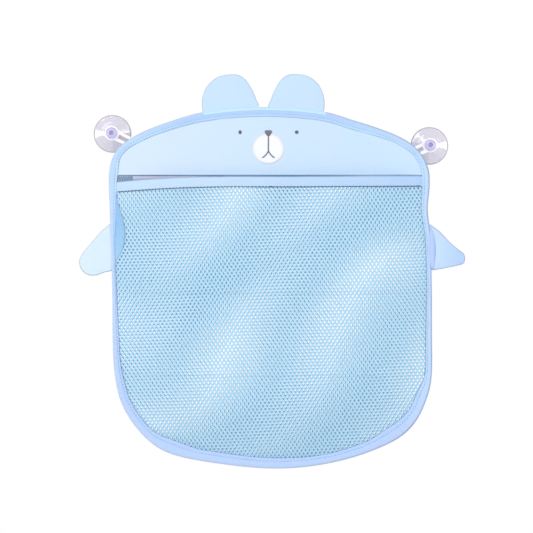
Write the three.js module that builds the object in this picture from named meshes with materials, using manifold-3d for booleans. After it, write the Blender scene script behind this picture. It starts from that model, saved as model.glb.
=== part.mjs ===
import * as THREE from "three";
import { mergeGeometries, mergeVertices } from "three/addons/utils/BufferGeometryUtils.js";
import Module from "manifold-3d";

// A bath toy organizer: a mesh pocket under a cloth bear's head, hung on a wall by two suction
// cups with clear hooks. Lengths are in millimetres. Pieces are drawn as the viewer sees them:
// X to the right, Y up and Z out from the wall, and the last group turns that so that Z is up.
// The origin is on the wall, midway between the two cups.

// Driving dimensions of the bag
const BAG_WIDTH = 338; // over the edge binding, side to side
const BAG_HEIGHT = 379.5; // over the edge binding, top to bottom
const BAG_RISE = 32.9; // top of the binding above the origin
const WALL_GAP = 22; // wall to the back of the binding
const BINDING_WIDTH = 6.5; // width of the binding that shows at the top
const HEAD_DROP = 71.5; // top of the binding to the lower edge of the head
const CLEARANCE = 0.3; // between pieces that rest on each other
const CLOTH = 0.5; // thickness of the head, ear and arm cloth
const TAPE = 0.7; // thickness of the binding, hem and loop tape
const NET = 0.7; // thickness of the netting

// Pocket
const NET_LAP = 8; // back netting caught between the two layers of the head
const NET_EDGE = 4; // plain border round the gaps of the netting
const GAP_PITCH = 34.5; // from gap to gap along a row of the netting
const ROW_PITCH = 20.5; // from row to row
const STRAND = 3.2; // width of a strand
const POCKET_GAP = 0.4; // front netting to the inner edge of the binding
const MOUTH_DEPTH = 8; // how far the hem stands off at the middle of the mouth
const BELLY_DEPTH = 20; // how far the front netting stands off lower down
const BELLY_FALL = 110; // height from the hem down to the full belly
const SHOULDER = 78; // width of the slope from the binding up to the full depth
const HEM_HEIGHT = 11;
const NET_TUCK = 2.4; // top of the netting above the lower edge of the hem
const MOUTH_GAP = 0.9; // lower edge of the head to the top of the hem
const MOUTH_DROOP = 5.5; // how far the hem's left end hangs lower
const DROOP_LENGTH = 75; // length of that droop along the hem
const MOUTH_SAG = 1.2; // how far the middle of the hem hangs lower

// Ears, arms and the face
const SEAM_GAP = 0.8; // binding to the foot of an ear or arm
const EAR_HEIGHT = 34.5;
const LEFT_EAR_FOOT = -70; // outer end of the left ear's foot
const LEFT_EAR_WIDTH = 57.4;
const RIGHT_EAR_FOOT = 53.8; // outer end of the right ear's foot
const RIGHT_EAR_WIDTH = 56.5;
const EAR_CROWN = 1.4; // how far the middle of an ear swells on each side
const LEFT_ARM_REACH = 32.5;
const RIGHT_ARM_REACH = 33.5;
const ARM_LENGTH = 47; // along the binding
const ARM_DROP = 123; // top of the binding to the top of the arms
const ARM_CROWN = 0.8;
const PRINT = 0.2; // thickness of the printed film of the face
const FACE_SHIFT = -2.7; // middle of the face from the origin
const FACE_DROP = 44; // top of the binding to the middle of the muzzle
const MUZZLE_WIDTH = 33.2;
const MUZZLE_HEIGHT = 32.5;
const NOSE_WIDTH = 7.8;
const NOSE_HEIGHT = 6.6;
const NOSE_RISE = 19.2; // top of the nose above the middle of the muzzle
const MOUTH_WIDTH = 13;
const MOUTH_SPLIT = -2.4; // where the mouth line forks, from the middle of the muzzle
const MOUTH_FALL = 7.4; // fork of the mouth line down to its ends
const MOUTH_STROKE = 1.3;
const LIP_BOW_SHARE = 0.5; // how far along a lip it bends down
const EYE_RADIUS = 2.1;
const EYE_SPACING = 59.4;
const EYE_RISE = 17.5;

// Suction cups and hooks
const CUP_INSET = 0.75; // side of the bag to the axis of a cup
const CUP_RISE = 6.4; // left cup above the origin, and the right cup as far below it
const CUP_RADIUS = 20;
const CUP_RIM = 1.4; // width of the flat rim that meets the wall
const CUP_LIP = 0.9; // thickness of the cup at its rim
const CUP_HOLLOW = 6; // depth of the hollow
const CUP_DOME = 9.4; // wall to the foot of the neck
const NECK_RADIUS = 4.5;
const KNOB_RADIUS = 6.1;
const KNOB_HEIGHT = 5.4;
const HOOK_SHEET = 2; // thickness of the hook's arm
const RING_RADIUS = 7.6;
const HOOK_WIDTH = 11.4; // width of the arm at the ring
const HOOK_TIP_WIDTH = 8.4; // and at its end
const HOOK_REACH = 42; // cup axis to the start of the bend
const BEND_RADIUS = 4.75; // outside of the bend
const FINGER_BACK = 4; // how far the finger comes back from the bend
const GROOVE_WIDTH = 4.6;
const GROOVE_DEPTH = 1;
const LEFT_HOOK_ANGLE = -26; // degrees from the direction of X
const RIGHT_HOOK_ANGLE = 204;
const LOOP_WIDTH = 6.7;
const LOOP_START = 36.5; // cup axis to the near edge of the loop's tape
const LOOP_LENGTH = 31; // clear length inside the loop
const LOOP_PAD = 4.5; // length sewn down at each end
const LOOP_FLAT = 21; // from the top of the loop to where the tape turns back to the bag
const LOOP_TURN = 1.2; // corner of the turned tape

// Counts
const OUTLINE_STEPS = 96;
const FLAP_STEPS = 24;
const HEM_STEPS = 26;
const ROUND_STEPS = 32;
const BEND_STEPS = 8;
const LIP_STEPS = 6;

const LIGHT_BLUE = 0xcfe6fb;
const BINDING_BLUE = 0xb2d0fb;
const NET_BLUE = 0xa5d3ee;
const PADDING_WHITE = 0xf6f6f4;
const PRINT_WHITE = 0xf4f5fc;
const PRINT_GREY = 0x80859a;
const CLEAR_PLASTIC = 0xdad6ea;

// The outline of the bag, clockwise from the top, as it lies in use: shares of half its width from
// the middle, and of its height from the top.
const OUTLINE_SHARES = [
  [-0.02, 0], [0.34, 0.0138], [0.508, 0.036], [0.663, 0.058], [0.788, 0.08], [0.881, 0.105],
  [0.943, 0.1355], [0.98, 0.174], [0.986, 0.216], [0.974, 0.285], [0.9925, 0.354], [0.998, 0.465],
  [1, 0.617], [0.997, 0.75], [0.974, 0.799], [0.9055, 0.866], [0.812, 0.91], [0.626, 0.9515],
  [0.365, 0.985], [0.0606, 1], [-0.306, 0.9875], [-0.617, 0.96], [-0.735, 0.932],
  [-0.859, 0.874], [-0.936, 0.8105], [-0.972, 0.735], [-0.983, 0.65], [-0.985, 0.53],
  [-0.992, 0.42], [-1.001, 0.29], [-1.005, 0.18], [-0.98, 0.1355], [-0.921, 0.102],
  [-0.797, 0.069], [-0.629, 0.04], [-0.418, 0.0138],
];
// The width of the binding, clockwise from the top: shares of a turn about the middle of the bag,
// and of the width at the top. It is folded over wider at the lower corners.
const BINDING_SHARES = [
  [0, 1], [0.135, 0.9], [0.155, 1.2], [0.18, 0.95], [0.24, 0.8], [0.325, 1.05], [0.35, 1.85],
  [0.39, 2.3], [0.415, 1.7], [0.45, 1.52], [0.5, 1.7], [0.56, 1.8], [0.588, 2.2], [0.615, 1.6],
  [0.65, 1.45], [0.69, 1.05], [0.75, 0.68], [0.79, 0.65], [0.825, 1], [0.848, 1.4], [0.865, 1.05],
  [0.9, 1], [1, 1],
];
// An ear from its outer end to its inner end: shares of its width and of its height.
const EAR_SHARES = [
  [0, 0], [-0.02, 0.25], [0.03, 0.52], [0.13, 0.77], [0.31, 0.96], [0.49, 1], [0.68, 0.96],
  [0.79, 0.76], [0.89, 0.44], [1, 0],
];
// The arms from the top of the foot to its bottom: shares of the reach and of the length.
const LEFT_ARM_SHARES = [
  [0, 0], [0.17, 0.1], [0.41, 0.27], [0.65, 0.45], [0.87, 0.63], [0.99, 0.78], [0.95, 0.97],
  [0.75, 1.1], [0.5, 1.12], [0.22, 1.06], [0, 1],
];
const RIGHT_ARM_SHARES = [
  [0, 0], [0.11, 0.07], [0.33, 0.25], [0.58, 0.45], [0.82, 0.61], [0.97, 0.71], [1, 0.8],
  [0.95, 0.9], [0.76, 0.94], [0.5, 0.97], [0.22, 1], [0, 1],
];
const EAR_MIDDLE_SHARES = [0.47, 0.42];
const ARM_MIDDLE_SHARES = [0.4, 0.64];
// The domed cloth of a flap, ring by ring from the edge to the middle.
const RING_SHARES = [1, 0.93, 0.8, 0.55];
const PADDING_RING_SHARES = [0.8, 0.55];
// The cup's outer and inner walls: shares of its radius and of the dome's or hollow's depth.
const DOME_SHARES = [[0.93, 0.13], [0.75, 0.37], [0.55, 0.66], [0.36, 0.9]];
const HOLLOW_SHARES = [[0.88, 0.22], [0.68, 0.62], [0.42, 0.9], [0.2, 0.99]];
const KNOB_SHARES = [[0.98, 0.14], [1, 0.45], [0.9, 0.78], [0.62, 0.96], [0.25, 1]];

const wasm = await Module();
wasm.setup();

// A closed geometry as a solid, and a solid as a geometry.
function solid(geometry) {
  const bare = geometry.index ? geometry.toNonIndexed() : geometry.clone();
  bare.deleteAttribute("normal");
  bare.deleteAttribute("uv");
  const merged = mergeVertices(bare);
  const vertProperties = merged.attributes.position.array;
  return new wasm.Manifold(
    new wasm.Mesh({ numProp: 3, vertProperties, triVerts: new Uint32Array(merged.index.array) }),
  );
}

function geometryOf(made) {
  const { vertProperties, triVerts } = made.getMesh();
  const geometry = new THREE.BufferGeometry();
  geometry.setAttribute("position", new THREE.Float32BufferAttribute(vertProperties, 3));
  geometry.setIndex(new THREE.BufferAttribute(triVerts, 1));
  geometry.computeVertexNormals();
  return geometry;
}

function surface(points, faces) {
  const geometry = new THREE.BufferGeometry().setFromPoints(points);
  geometry.setIndex(faces.flat());
  geometry.computeVertexNormals();
  return geometry;
}

// Flat outlines
function smoothLine(points, steps, closed) {
  const corners = points.map(([x, y]) => new THREE.Vector3(x, y, 0));
  const curve = new THREE.CatmullRomCurve3(corners, closed, "centripetal");
  const along = curve.getSpacedPoints(steps).map((p) => new THREE.Vector2(p.x, p.y));
  return closed ? along.slice(0, steps) : along;
}

// The loop runs clockwise, so its inside is on its right.
function inset(loop, widthAt) {
  return loop.map((p, i) => {
    const before = loop[(i + loop.length - 1) % loop.length];
    const after = loop[(i + 1) % loop.length];
    const along = after.clone().sub(before).normalize();
    return new THREE.Vector2(along.y, -along.x).multiplyScalar(widthAt(p)).add(p);
  });
}

// The part of a loop that lies above a level, or below it if side is -1.
function clipped(loop, level, side) {
  return loop.flatMap((p, i) => {
    const next = loop[(i + 1) % loop.length];
    const kept = (p.y - level) * side >= 0 ? [p] : [];
    if ((p.y - level) * (next.y - level) < 0)
      kept.push(p.clone().lerp(next, (level - p.y) / (next.y - p.y)));
    return kept;
  });
}

// Where a loop crosses a height on its left (-1) or right (1).
function sideAt(loop, height, side) {
  const crossings = loop.flatMap((p, i) => {
    const next = loop[(i + 1) % loop.length];
    if ((p.y - height) * (next.y - height) > 0) return [];
    return [p.clone().lerp(next, (height - p.y) / (next.y - p.y)).x];
  });
  return side > 0 ? Math.max(...crossings) : Math.min(...crossings);
}

function plate(loop, back, front) {
  const options = { depth: front - back, bevelEnabled: false };
  return new THREE.ExtrudeGeometry(new THREE.Shape(loop), options).translate(0, 0, back);
}

const smooth = (t) => t * t * (3 - 2 * t);

// Levels, measured up from the origin, and depths, measured out from the wall
const bagTop = BAG_RISE;
const headLevel = bagTop - HEAD_DROP;
const slotBack = WALL_GAP + TAPE;
const liningBack = slotBack + CLEARANCE;
const backNetBack = liningBack + CLOTH + CLEARANCE;
const headBack = backNetBack + NET + CLEARANCE;
const headFront = headBack + CLOTH;
const slotFront = headFront + CLEARANCE;
const bindingFront = slotFront + TAPE;
const bagMiddle = (WALL_GAP + bindingFront) / 2;
const frontNetBack = backNetBack + NET + CLEARANCE + TAPE + CLEARANCE;

const halfWidth = BAG_WIDTH / 2;
const outline = smoothLine(
  OUTLINE_SHARES.map(([across, drop]) => [across * halfWidth, bagTop - drop * BAG_HEIGHT]),
  OUTLINE_STEPS,
  true,
);

const bagCentre = new THREE.Vector2(0, bagTop - BAG_HEIGHT / 2);

function bindingWidth(p) {
  const turn = Math.atan2(p.x - bagCentre.x, p.y - bagCentre.y) / (2 * Math.PI);
  const place = THREE.MathUtils.euclideanModulo(turn, 1);
  const next = BINDING_SHARES.findIndex(([share]) => share > place);
  const [[start, before], [end, after]] = BINDING_SHARES.slice(next - 1, next + 1);
  const share = THREE.MathUtils.lerp(before, after, smooth((place - start) / (end - start)));
  return share * BINDING_WIDTH;
}

const bindingInside = inset(outline, bindingWidth);
const slotOutline = inset(outline, () => TAPE);
const clothOutline = inset(outline, () => TAPE + CLEARANCE);
const pocketOutline = inset(outline, (p) => bindingWidth(p) + POCKET_GAP);

const group = new THREE.Group();

function add(name, geometry, color, options = {}) {
  const material = new THREE.MeshStandardMaterial({ color, roughness: 0.85, ...options });
  const mesh = new THREE.Mesh(geometry, material);
  mesh.name = name;
  group.add(mesh);
}

// The edge binding: tape folded round the rim of the bag, open towards the middle.
const rim = solid(plate(outline, WALL_GAP, bindingFront));
const opening = solid(plate(bindingInside, WALL_GAP - TAPE, bindingFront + TAPE));
const slot = solid(plate(slotOutline, slotBack, slotFront));
add("edge_binding", geometryOf(rim.subtract(opening).subtract(slot)), BINDING_BLUE);

// The head: an outer cloth and a lining over a thin padding, with the top of the back netting
// caught between them below it.
const headOutline = clipped(clothOutline, headLevel, 1);
const paddingOutline = clipped(clothOutline, headLevel + NET_LAP + CLEARANCE, 1);
add("head_front", plate(headOutline, headBack, headFront), LIGHT_BLUE);
add("head_padding", plate(paddingOutline, backNetBack, backNetBack + NET), PADDING_WHITE);
add("head_lining", plate(headOutline, liningBack, liningBack + CLOTH), LIGHT_BLUE);

// Netting: rows of diamond gaps, each row half a pitch to the side of the last.
function gapsInside(loop, back, front) {
  const halfGap = (GAP_PITCH - STRAND) / 2;
  const halfRow = ROW_PITCH - STRAND / 2;
  const rows = Math.ceil(BAG_HEIGHT / ROW_PITCH);
  const columns = Math.ceil(halfWidth / GAP_PITCH);
  const gaps = [];
  for (let row = 0; row <= rows; row++)
    for (let column = -columns; column <= columns; column++) {
      const x = (column + (row % 2) / 2) * GAP_PITCH;
      const y = bagTop - row * ROW_PITCH;
      const diamond = [[x - halfGap, y], [x, y + halfRow], [x + halfGap, y], [x, y - halfRow]];
      gaps.push(plate(diamond.map((p) => new THREE.Vector2(...p)), back, front));
    }
  return solid(mergeGeometries(gaps)).intersect(solid(plate(loop, back, front)));
}

function netting(loop, gapsLoop, back) {
  const front = back + NET;
  const cutters = gapsInside(gapsLoop, back - NET, front + NET);
  return solid(plate(loop, back, front)).subtract(cutters);
}

const backNetOutline = clipped(clothOutline, headLevel + NET_LAP, -1);
const borderWidth = (p) => bindingWidth(p) + NET_EDGE;
const gapsOutline = inset(outline, borderWidth);
const backGaps = clipped(gapsOutline, headLevel - NET_EDGE, -1);
add("back_mesh", geometryOf(netting(backNetOutline, backGaps, backNetBack)), NET_BLUE);

// The mouth of the pocket, which hangs a little lower at the left.
function mouthAt(x) {
  const across = x / halfWidth;
  const sag = MOUTH_SAG * (1 - across * across);
  const far = THREE.MathUtils.clamp(1 - (x + halfWidth) / DROOP_LENGTH, 0, 1);
  return headLevel - MOUTH_GAP - sag - MOUTH_DROOP * far * far;
}

const hemLevel = headLevel - MOUTH_GAP - HEM_HEIGHT;
const hemEnds = [headLevel - MOUTH_GAP, hemLevel, hemLevel - MOUTH_DROOP];
const hemLeft = Math.max(...hemEnds.map((level) => sideAt(pocketOutline, level, -1)));
const hemRight = Math.min(...hemEnds.map((level) => sideAt(pocketOutline, level, 1)));
const hemPlaces = Array.from({ length: HEM_STEPS + 1 }, (_, i) =>
  THREE.MathUtils.lerp(hemLeft, hemRight, i / HEM_STEPS),
);

function distanceToSegment(p, a, b) {
  const span = b.clone().sub(a);
  const share = THREE.MathUtils.clamp(p.clone().sub(a).dot(span) / span.lengthSq(), 0, 1);
  return p.distanceTo(a.clone().addScaledVector(span, share));
}

// How far the front netting stands off from the binding at a place: nothing at the sides and the
// bottom, more towards the middle, and most in the belly of the pocket.
const pocketEdge = pocketOutline.filter((p) => p.y < headLevel);
const rimLines = pocketEdge.slice(1).map((p, i) => [pocketEdge[i], p]);
function standOff(x, y) {
  const place = new THREE.Vector2(x, Math.min(y, mouthAt(x) - HEM_HEIGHT));
  const inward = Math.min(...rimLines.map(([a, b]) => distanceToSegment(place, a, b)));
  const slope = Math.sin((Math.min(1, inward / SHOULDER) * Math.PI) / 2);
  const fall = THREE.MathUtils.clamp((hemLevel - place.y) / BELLY_FALL, 0, 1);
  return slope * THREE.MathUtils.lerp(MOUTH_DEPTH, BELLY_DEPTH, smooth(fall));
}

// The front netting, flat first and then swelled out to its stand-off. Its gaps run on through
// its upper edge, so that loose strands end in the hem.
const netTop = hemPlaces.map((x) => new THREE.Vector2(x, mouthAt(x) - HEM_HEIGHT + NET_TUCK));
const frontNetOutline = [
  ...pocketOutline.filter((p) => p.y < hemLevel - MOUTH_DROOP),
  ...netTop,
];
const frontNet = geometryOf(netting(frontNetOutline, gapsOutline, frontNetBack));
const netPoints = frontNet.attributes.position;
for (let i = 0; i < netPoints.count; i++) {
  const swell = standOff(netPoints.getX(i), netPoints.getY(i));
  netPoints.setZ(i, netPoints.getZ(i) + swell);
}
frontNet.computeVertexNormals();
add("front_mesh", frontNet, NET_BLUE);

// A solid drawn through a row of like sections.
function swept(sections) {
  const size = sections[0].length;
  const points = sections.flat();
  const faces = [];
  for (let i = 0; i + 1 < sections.length; i++)
    for (let j = 0; j < size; j++) {
      const [a, b] = [i * size + j, i * size + ((j + 1) % size)];
      faces.push([a, b, a + size], [b, b + size, a + size]);
    }
  const flat = sections[0].map((p) => new THREE.Vector2(p.z, p.y));
  const facing = (loop) => Math.sign(THREE.ShapeUtils.area(loop));
  const last = (sections.length - 1) * size;
  for (const triangle of THREE.ShapeUtils.triangulateShape(flat, [])) {
    const agrees = facing(triangle.map((corner) => flat[corner])) === facing(flat);
    const [a, b, c] = agrees ? triangle : [...triangle].reverse();
    faces.push([a, c, b], [last + a, last + b, last + c]);
  }
  return surface(points, faces);
}

// The hem: rolled tape with the top of the front netting tucked into its lower edge.
const hemSections = hemPlaces.map((x) => {
  const top = mouthAt(x);
  const low = top - HEM_HEIGHT;
  const ceiling = low + NET_TUCK + CLEARANCE;
  const netBack = frontNetBack + standOff(x, low);
  const [inBack, inFront] = [netBack - CLEARANCE, netBack + NET + CLEARANCE];
  const [outBack, outFront] = [inBack - TAPE, inFront + TAPE];
  const corners = [
    [outBack, low], [outBack, top], [outFront, top], [outFront, low],
    [inFront, low], [inFront, ceiling], [inBack, ceiling], [inBack, low],
  ];
  return corners.map(([out, up]) => new THREE.Vector3(x, up, out));
});
add("mouth_hem", swept(hemSections), LIGHT_BLUE);

// A domed solid between two surfaces whose heights are given for each ring, edge to middle.
function domed(loop, middle, shares, frontAt, backAt) {
  const round = THREE.ShapeUtils.isClockWise(loop) ? [...loop].reverse() : loop;
  const count = round.length;
  const side = (heightAt) => [
    ...shares.flatMap((share) =>
      round.map((p) => {
        const place = middle.clone().lerp(p, share);
        return new THREE.Vector3(place.x, place.y, heightAt(share));
      }),
    ),
    new THREE.Vector3(middle.x, middle.y, heightAt(0)),
  ];
  const front = side(frontAt);
  const back = side(backAt);
  const base = front.length;
  const faces = [];
  for (let j = 0; j < count; j++) {
    const next = (j + 1) % count;
    for (let ring = 0; ring + 1 < shares.length; ring++) {
      const [a, b] = [ring * count + j, ring * count + next];
      const [c, d] = [a + count, b + count];
      faces.push([a, b, c], [b, d, c]);
      faces.push([base + a, base + c, base + b], [base + b, base + c, base + d]);
    }
    const last = (shares.length - 1) * count;
    faces.push([last + j, last + next, base - 1]);
    faces.push([base + last + next, base + last + j, base + base - 1]);
    faces.push([j, base + j, next], [next, base + j, base + next]);
  }
  return surface([...front, ...back], faces);
}

// Ears and arms: two domed cloths over a thin padding, sewn to the binding along a straight foot.
function addFlap(name, from, to, shares, reach, middleShares, crown) {
  const along = to.clone().sub(from).normalize();
  const length = from.distanceTo(to);
  const away = new THREE.Vector2(-along.y, along.x);
  if (away.dot(from.clone().sub(bagCentre)) < 0) away.negate();
  const beside = outline.map((p) => p.clone().sub(from));
  const facing = beside.filter((p) => p.dot(along) > 0 && p.dot(along) < length);
  const offset = Math.max(0, ...facing.map((p) => p.dot(away))) + SEAM_GAP;
  const placed = ([foot, height]) =>
    from
      .clone()
      .addScaledVector(along, foot * length)
      .addScaledVector(away, offset + height * reach);
  const corners = shares.map(placed).map((p) => [p.x, p.y]);
  const loop = smoothLine(corners, FLAP_STEPS, false);
  const middle = placed(middleShares);
  const inside = (share) => CLEARANCE / 2 + crown * Math.sqrt(1 - share * share);
  const outside = (share) => inside(share) + CLOTH;
  const padded = (share) => inside(share) - CLEARANCE;
  const pieces = [
    ["front", RING_SHARES, outside, inside, LIGHT_BLUE],
    ["back", RING_SHARES, (s) => -inside(s), (s) => -outside(s), LIGHT_BLUE],
    ["padding", PADDING_RING_SHARES, padded, (s) => -padded(s), PADDING_WHITE],
  ];
  for (const [piece, rings, frontAt, backAt, color] of pieces) {
    const geometry = domed(loop, middle, rings, frontAt, backAt).translate(0, 0, bagMiddle);
    add(`${name}_${piece}`, geometry, color);
  }
}

// The outline's height over a place on its upper edge, and its side at a height.
function topAt(x) {
  const turned = outline.map((p) => new THREE.Vector2(p.y, p.x));
  return sideAt(turned, x, 1);
}

function addEar(name, outer, width) {
  const inner = outer - Math.sign(outer) * width;
  const from = new THREE.Vector2(outer, topAt(outer));
  const to = new THREE.Vector2(inner, topAt(inner));
  addFlap(name, from, to, EAR_SHARES, EAR_HEIGHT, EAR_MIDDLE_SHARES, EAR_CROWN);
}

function addArm(name, side, shares, reach) {
  const top = bagTop - ARM_DROP;
  const low = top - ARM_LENGTH;
  const from = new THREE.Vector2(sideAt(outline, top, side), top);
  const to = new THREE.Vector2(sideAt(outline, low, side), low);
  const turned = shares.map(([height, foot]) => [foot, height]);
  const [middleHeight, middleFoot] = ARM_MIDDLE_SHARES;
  addFlap(name, from, to, turned, reach, [middleFoot, middleHeight], ARM_CROWN);
}

addEar("left_ear", LEFT_EAR_FOOT, LEFT_EAR_WIDTH);
addEar("right_ear", RIGHT_EAR_FOOT, RIGHT_EAR_WIDTH);
addArm("left_arm", -1, LEFT_ARM_SHARES, LEFT_ARM_REACH);
addArm("right_arm", 1, RIGHT_ARM_SHARES, RIGHT_ARM_REACH);

// The face: thin printed film on the head cloth, with the nose and mouth on top of the muzzle.
function oval(x, y, halfAcross, halfUp) {
  return Array.from({ length: ROUND_STEPS }, (_, i) => {
    const turn = (i / ROUND_STEPS) * 2 * Math.PI;
    return new THREE.Vector2(x + halfAcross * Math.cos(turn), y + halfUp * Math.sin(turn));
  });
}

// A band of even width along a line, with mitred corners.
function band(line, width) {
  const edge = (side) =>
    line.map((p, i) => {
      const before = line[Math.max(i - 1, 0)];
      const after = line[Math.min(i + 1, line.length - 1)];
      const arriving = (i > 0 ? p.clone().sub(before) : after.clone().sub(p)).normalize();
      const leaving = (i + 1 < line.length ? after.clone().sub(p) : arriving.clone()).normalize();
      const across = arriving.clone().add(leaving).normalize();
      const normal = new THREE.Vector2(-across.y, across.x);
      const reach = width / 2 / across.dot(arriving);
      return p.clone().addScaledVector(normal, side * reach);
    });
  return [...edge(1), ...edge(-1).reverse()];
}

const faceLevel = bagTop - FACE_DROP;
const muzzleFront = headFront + PRINT;

function addPrint(name, loop, back, color) {
  add(name, plate(loop, back, back + PRINT), color, { roughness: 0.6 });
}

const muzzle = oval(FACE_SHIFT, faceLevel, MUZZLE_WIDTH / 2, MUZZLE_HEIGHT / 2);
addPrint("muzzle_print", muzzle, headFront, PRINT_WHITE);

const noseTop = faceLevel + NOSE_RISE;
const nose = [
  new THREE.Vector2(FACE_SHIFT - NOSE_WIDTH / 2, noseTop),
  new THREE.Vector2(FACE_SHIFT + NOSE_WIDTH / 2, noseTop),
  new THREE.Vector2(FACE_SHIFT, noseTop - NOSE_HEIGHT),
];
addPrint("nose_print", nose, muzzleFront, PRINT_GREY);

const fork = new THREE.Vector2(FACE_SHIFT, faceLevel + MOUTH_SPLIT);
const noseTip = new THREE.Vector2(FACE_SHIFT, noseTop - NOSE_HEIGHT - CLEARANCE);
const lips = [-1, 1].map((side) => {
  const end = fork.clone().add(new THREE.Vector2((side * MOUTH_WIDTH) / 2, -MOUTH_FALL));
  const bow = new THREE.Vector2(end.x, fork.y);
  return new THREE.QuadraticBezierCurve(fork, fork.clone().lerp(bow, LIP_BOW_SHARE), end);
});
const mouthLines = [[noseTip, fork], ...lips.map((lip) => lip.getPoints(LIP_STEPS))];
const mouth = mouthLines
  .map((line) => solid(plate(band(line, MOUTH_STROKE), muzzleFront, muzzleFront + PRINT)))
  .reduce((whole, line) => whole.add(line));
add("mouth_print", geometryOf(mouth), PRINT_GREY, { roughness: 0.6 });

for (const [name, side] of [["left_eye_print", -1], ["right_eye_print", 1]]) {
  const across = FACE_SHIFT + (side * EYE_SPACING) / 2;
  const eye = oval(across, faceLevel + EYE_RISE, EYE_RADIUS, EYE_RADIUS);
  addPrint(name, eye, headFront, PRINT_GREY);
}

// Suction cups, turned about the axis that points out of the wall
const ringBack = CUP_DOME + CLEARANCE;
const ringFront = ringBack + HOOK_SHEET;
const knobBack = ringFront + CLEARANCE;
const clear = { roughness: 0.15, transparent: true, opacity: 0.55 };

function turnedOnWall(profile) {
  const points = profile.map(([radius, out]) => new THREE.Vector2(radius, out));
  return new THREE.LatheGeometry(points, ROUND_STEPS).rotateX(Math.PI / 2);
}

const hollowRadius = CUP_RADIUS - CUP_RIM;
const cup = turnedOnWall([
  [0, CUP_HOLLOW],
  ...HOLLOW_SHARES.map(([r, h]) => [r * hollowRadius, h * CUP_HOLLOW]).reverse(),
  [hollowRadius, 0],
  [CUP_RADIUS, 0],
  [CUP_RADIUS, CUP_LIP],
  ...DOME_SHARES.map(([r, h]) => [
    r * CUP_RADIUS,
    THREE.MathUtils.lerp(CUP_LIP, CUP_DOME, h),
  ]),
  [NECK_RADIUS, CUP_DOME],
  [NECK_RADIUS, knobBack],
  ...KNOB_SHARES.map(([r, h]) => [r * KNOB_RADIUS, knobBack + h * KNOB_HEIGHT]),
  [0, knobBack + KNOB_HEIGHT],
]);

// The hook, drawn along X from the cup's axis: a flat grooved arm that bends out and back.
const bendMiddle = ringBack + BEND_RADIUS;

function bend(radius, from, to) {
  const arc = new THREE.EllipseCurve(HOOK_REACH, bendMiddle, radius, radius, from, to, to < from);
  return arc.getPoints(BEND_STEPS);
}

const hookLine = [
  new THREE.Vector2(0, ringBack),
  ...bend(BEND_RADIUS, -Math.PI / 2, Math.PI / 2),
  new THREE.Vector2(HOOK_REACH - FINGER_BACK, ringBack + 2 * BEND_RADIUS),
  new THREE.Vector2(HOOK_REACH - FINGER_BACK, ringBack + 2 * BEND_RADIUS - HOOK_SHEET),
  ...bend(BEND_RADIUS - HOOK_SHEET, Math.PI / 2, -Math.PI / 2),
  new THREE.Vector2(0, ringFront),
];
const hookEnd = HOOK_REACH + BEND_RADIUS;
const hookPlan = [
  new THREE.Vector2(0, HOOK_WIDTH / 2),
  new THREE.Vector2(hookEnd, HOOK_TIP_WIDTH / 2),
  new THREE.Vector2(hookEnd, -HOOK_TIP_WIDTH / 2),
  new THREE.Vector2(0, -HOOK_WIDTH / 2),
];
const groovePlan = [
  new THREE.Vector2(RING_RADIUS, GROOVE_WIDTH / 2),
  new THREE.Vector2(HOOK_REACH, GROOVE_WIDTH / 2),
  new THREE.Vector2(HOOK_REACH, -GROOVE_WIDTH / 2),
  new THREE.Vector2(RING_RADIUS, -GROOVE_WIDTH / 2),
];
const hookHole = oval(0, 0, NECK_RADIUS + CLEARANCE, NECK_RADIUS + CLEARANCE);
const hookRing = oval(0, 0, RING_RADIUS, RING_RADIUS);
const sideView = plate(hookLine, -HOOK_WIDTH / 2, HOOK_WIDTH / 2).rotateX(Math.PI / 2);
const hook = geometryOf(
  solid(sideView)
    .intersect(solid(plate(hookPlan, 0, hookEnd)))
    .add(solid(plate(hookRing, ringBack, ringFront)))
    .subtract(solid(plate(hookHole, 0, hookEnd)))
    .subtract(solid(plate(groovePlan, ringFront - GROOVE_DEPTH, bendMiddle))),
);

// The hang loop, drawn beside its hook: tape sewn to the head lining at both ends, with its upper
// end resting on the hook.
const hookWidthThere = THREE.MathUtils.lerp(HOOK_WIDTH, HOOK_TIP_WIDTH, LOOP_START / hookEnd);
const loopTop = hookWidthThere / 2 + CLEARANCE + TAPE / 2;
const padMiddle = liningBack - TAPE / 2;
const loopLine = [
  [loopTop + LOOP_TURN + LOOP_PAD, padMiddle],
  [loopTop + LOOP_TURN, padMiddle],
  [loopTop, padMiddle - LOOP_TURN],
  [loopTop, bendMiddle + LOOP_TURN],
  [loopTop - LOOP_TURN, bendMiddle],
  [loopTop - LOOP_FLAT, bendMiddle],
  [loopTop - LOOP_LENGTH, padMiddle],
  [loopTop - LOOP_LENGTH - LOOP_PAD, padMiddle],
];

function loopTape(upward) {
  const line = loopLine.map(([up, out]) => new THREE.Vector2(up * upward, out));
  const axes = [
    new THREE.Vector3(0, 1, 0),
    new THREE.Vector3(0, 0, 1),
    new THREE.Vector3(1, 0, 0),
  ];
  const turn = new THREE.Matrix4().makeBasis(...axes);
  return plate(band(line, TAPE), LOOP_START, LOOP_START + LOOP_WIDTH).applyMatrix4(turn);
}

const cupSpacing = BAG_WIDTH - 2 * CUP_INSET;
const hangers = [
  ["left", -1, LEFT_HOOK_ANGLE, 1],
  ["right", 1, RIGHT_HOOK_ANGLE, -1],
];
for (const [name, side, angle, upward] of hangers) {
  const turn = THREE.MathUtils.degToRad(angle);
  const place = [(side * cupSpacing) / 2, -side * CUP_RISE, 0];
  const placed = (geometry) => geometry.rotateZ(turn).translate(...place);
  add(`${name}_cup`, placed(cup.clone()), CLEAR_PLASTIC, clear);
  add(`${name}_hook`, placed(hook.clone()), CLEAR_PLASTIC, clear);
  add(`${name}_hang_loop`, placed(loopTape(upward)), BINDING_BLUE);
}

group.rotation.x = Math.PI / 2;
group.updateMatrixWorld(true);

export default group;
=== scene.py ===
import math

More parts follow.
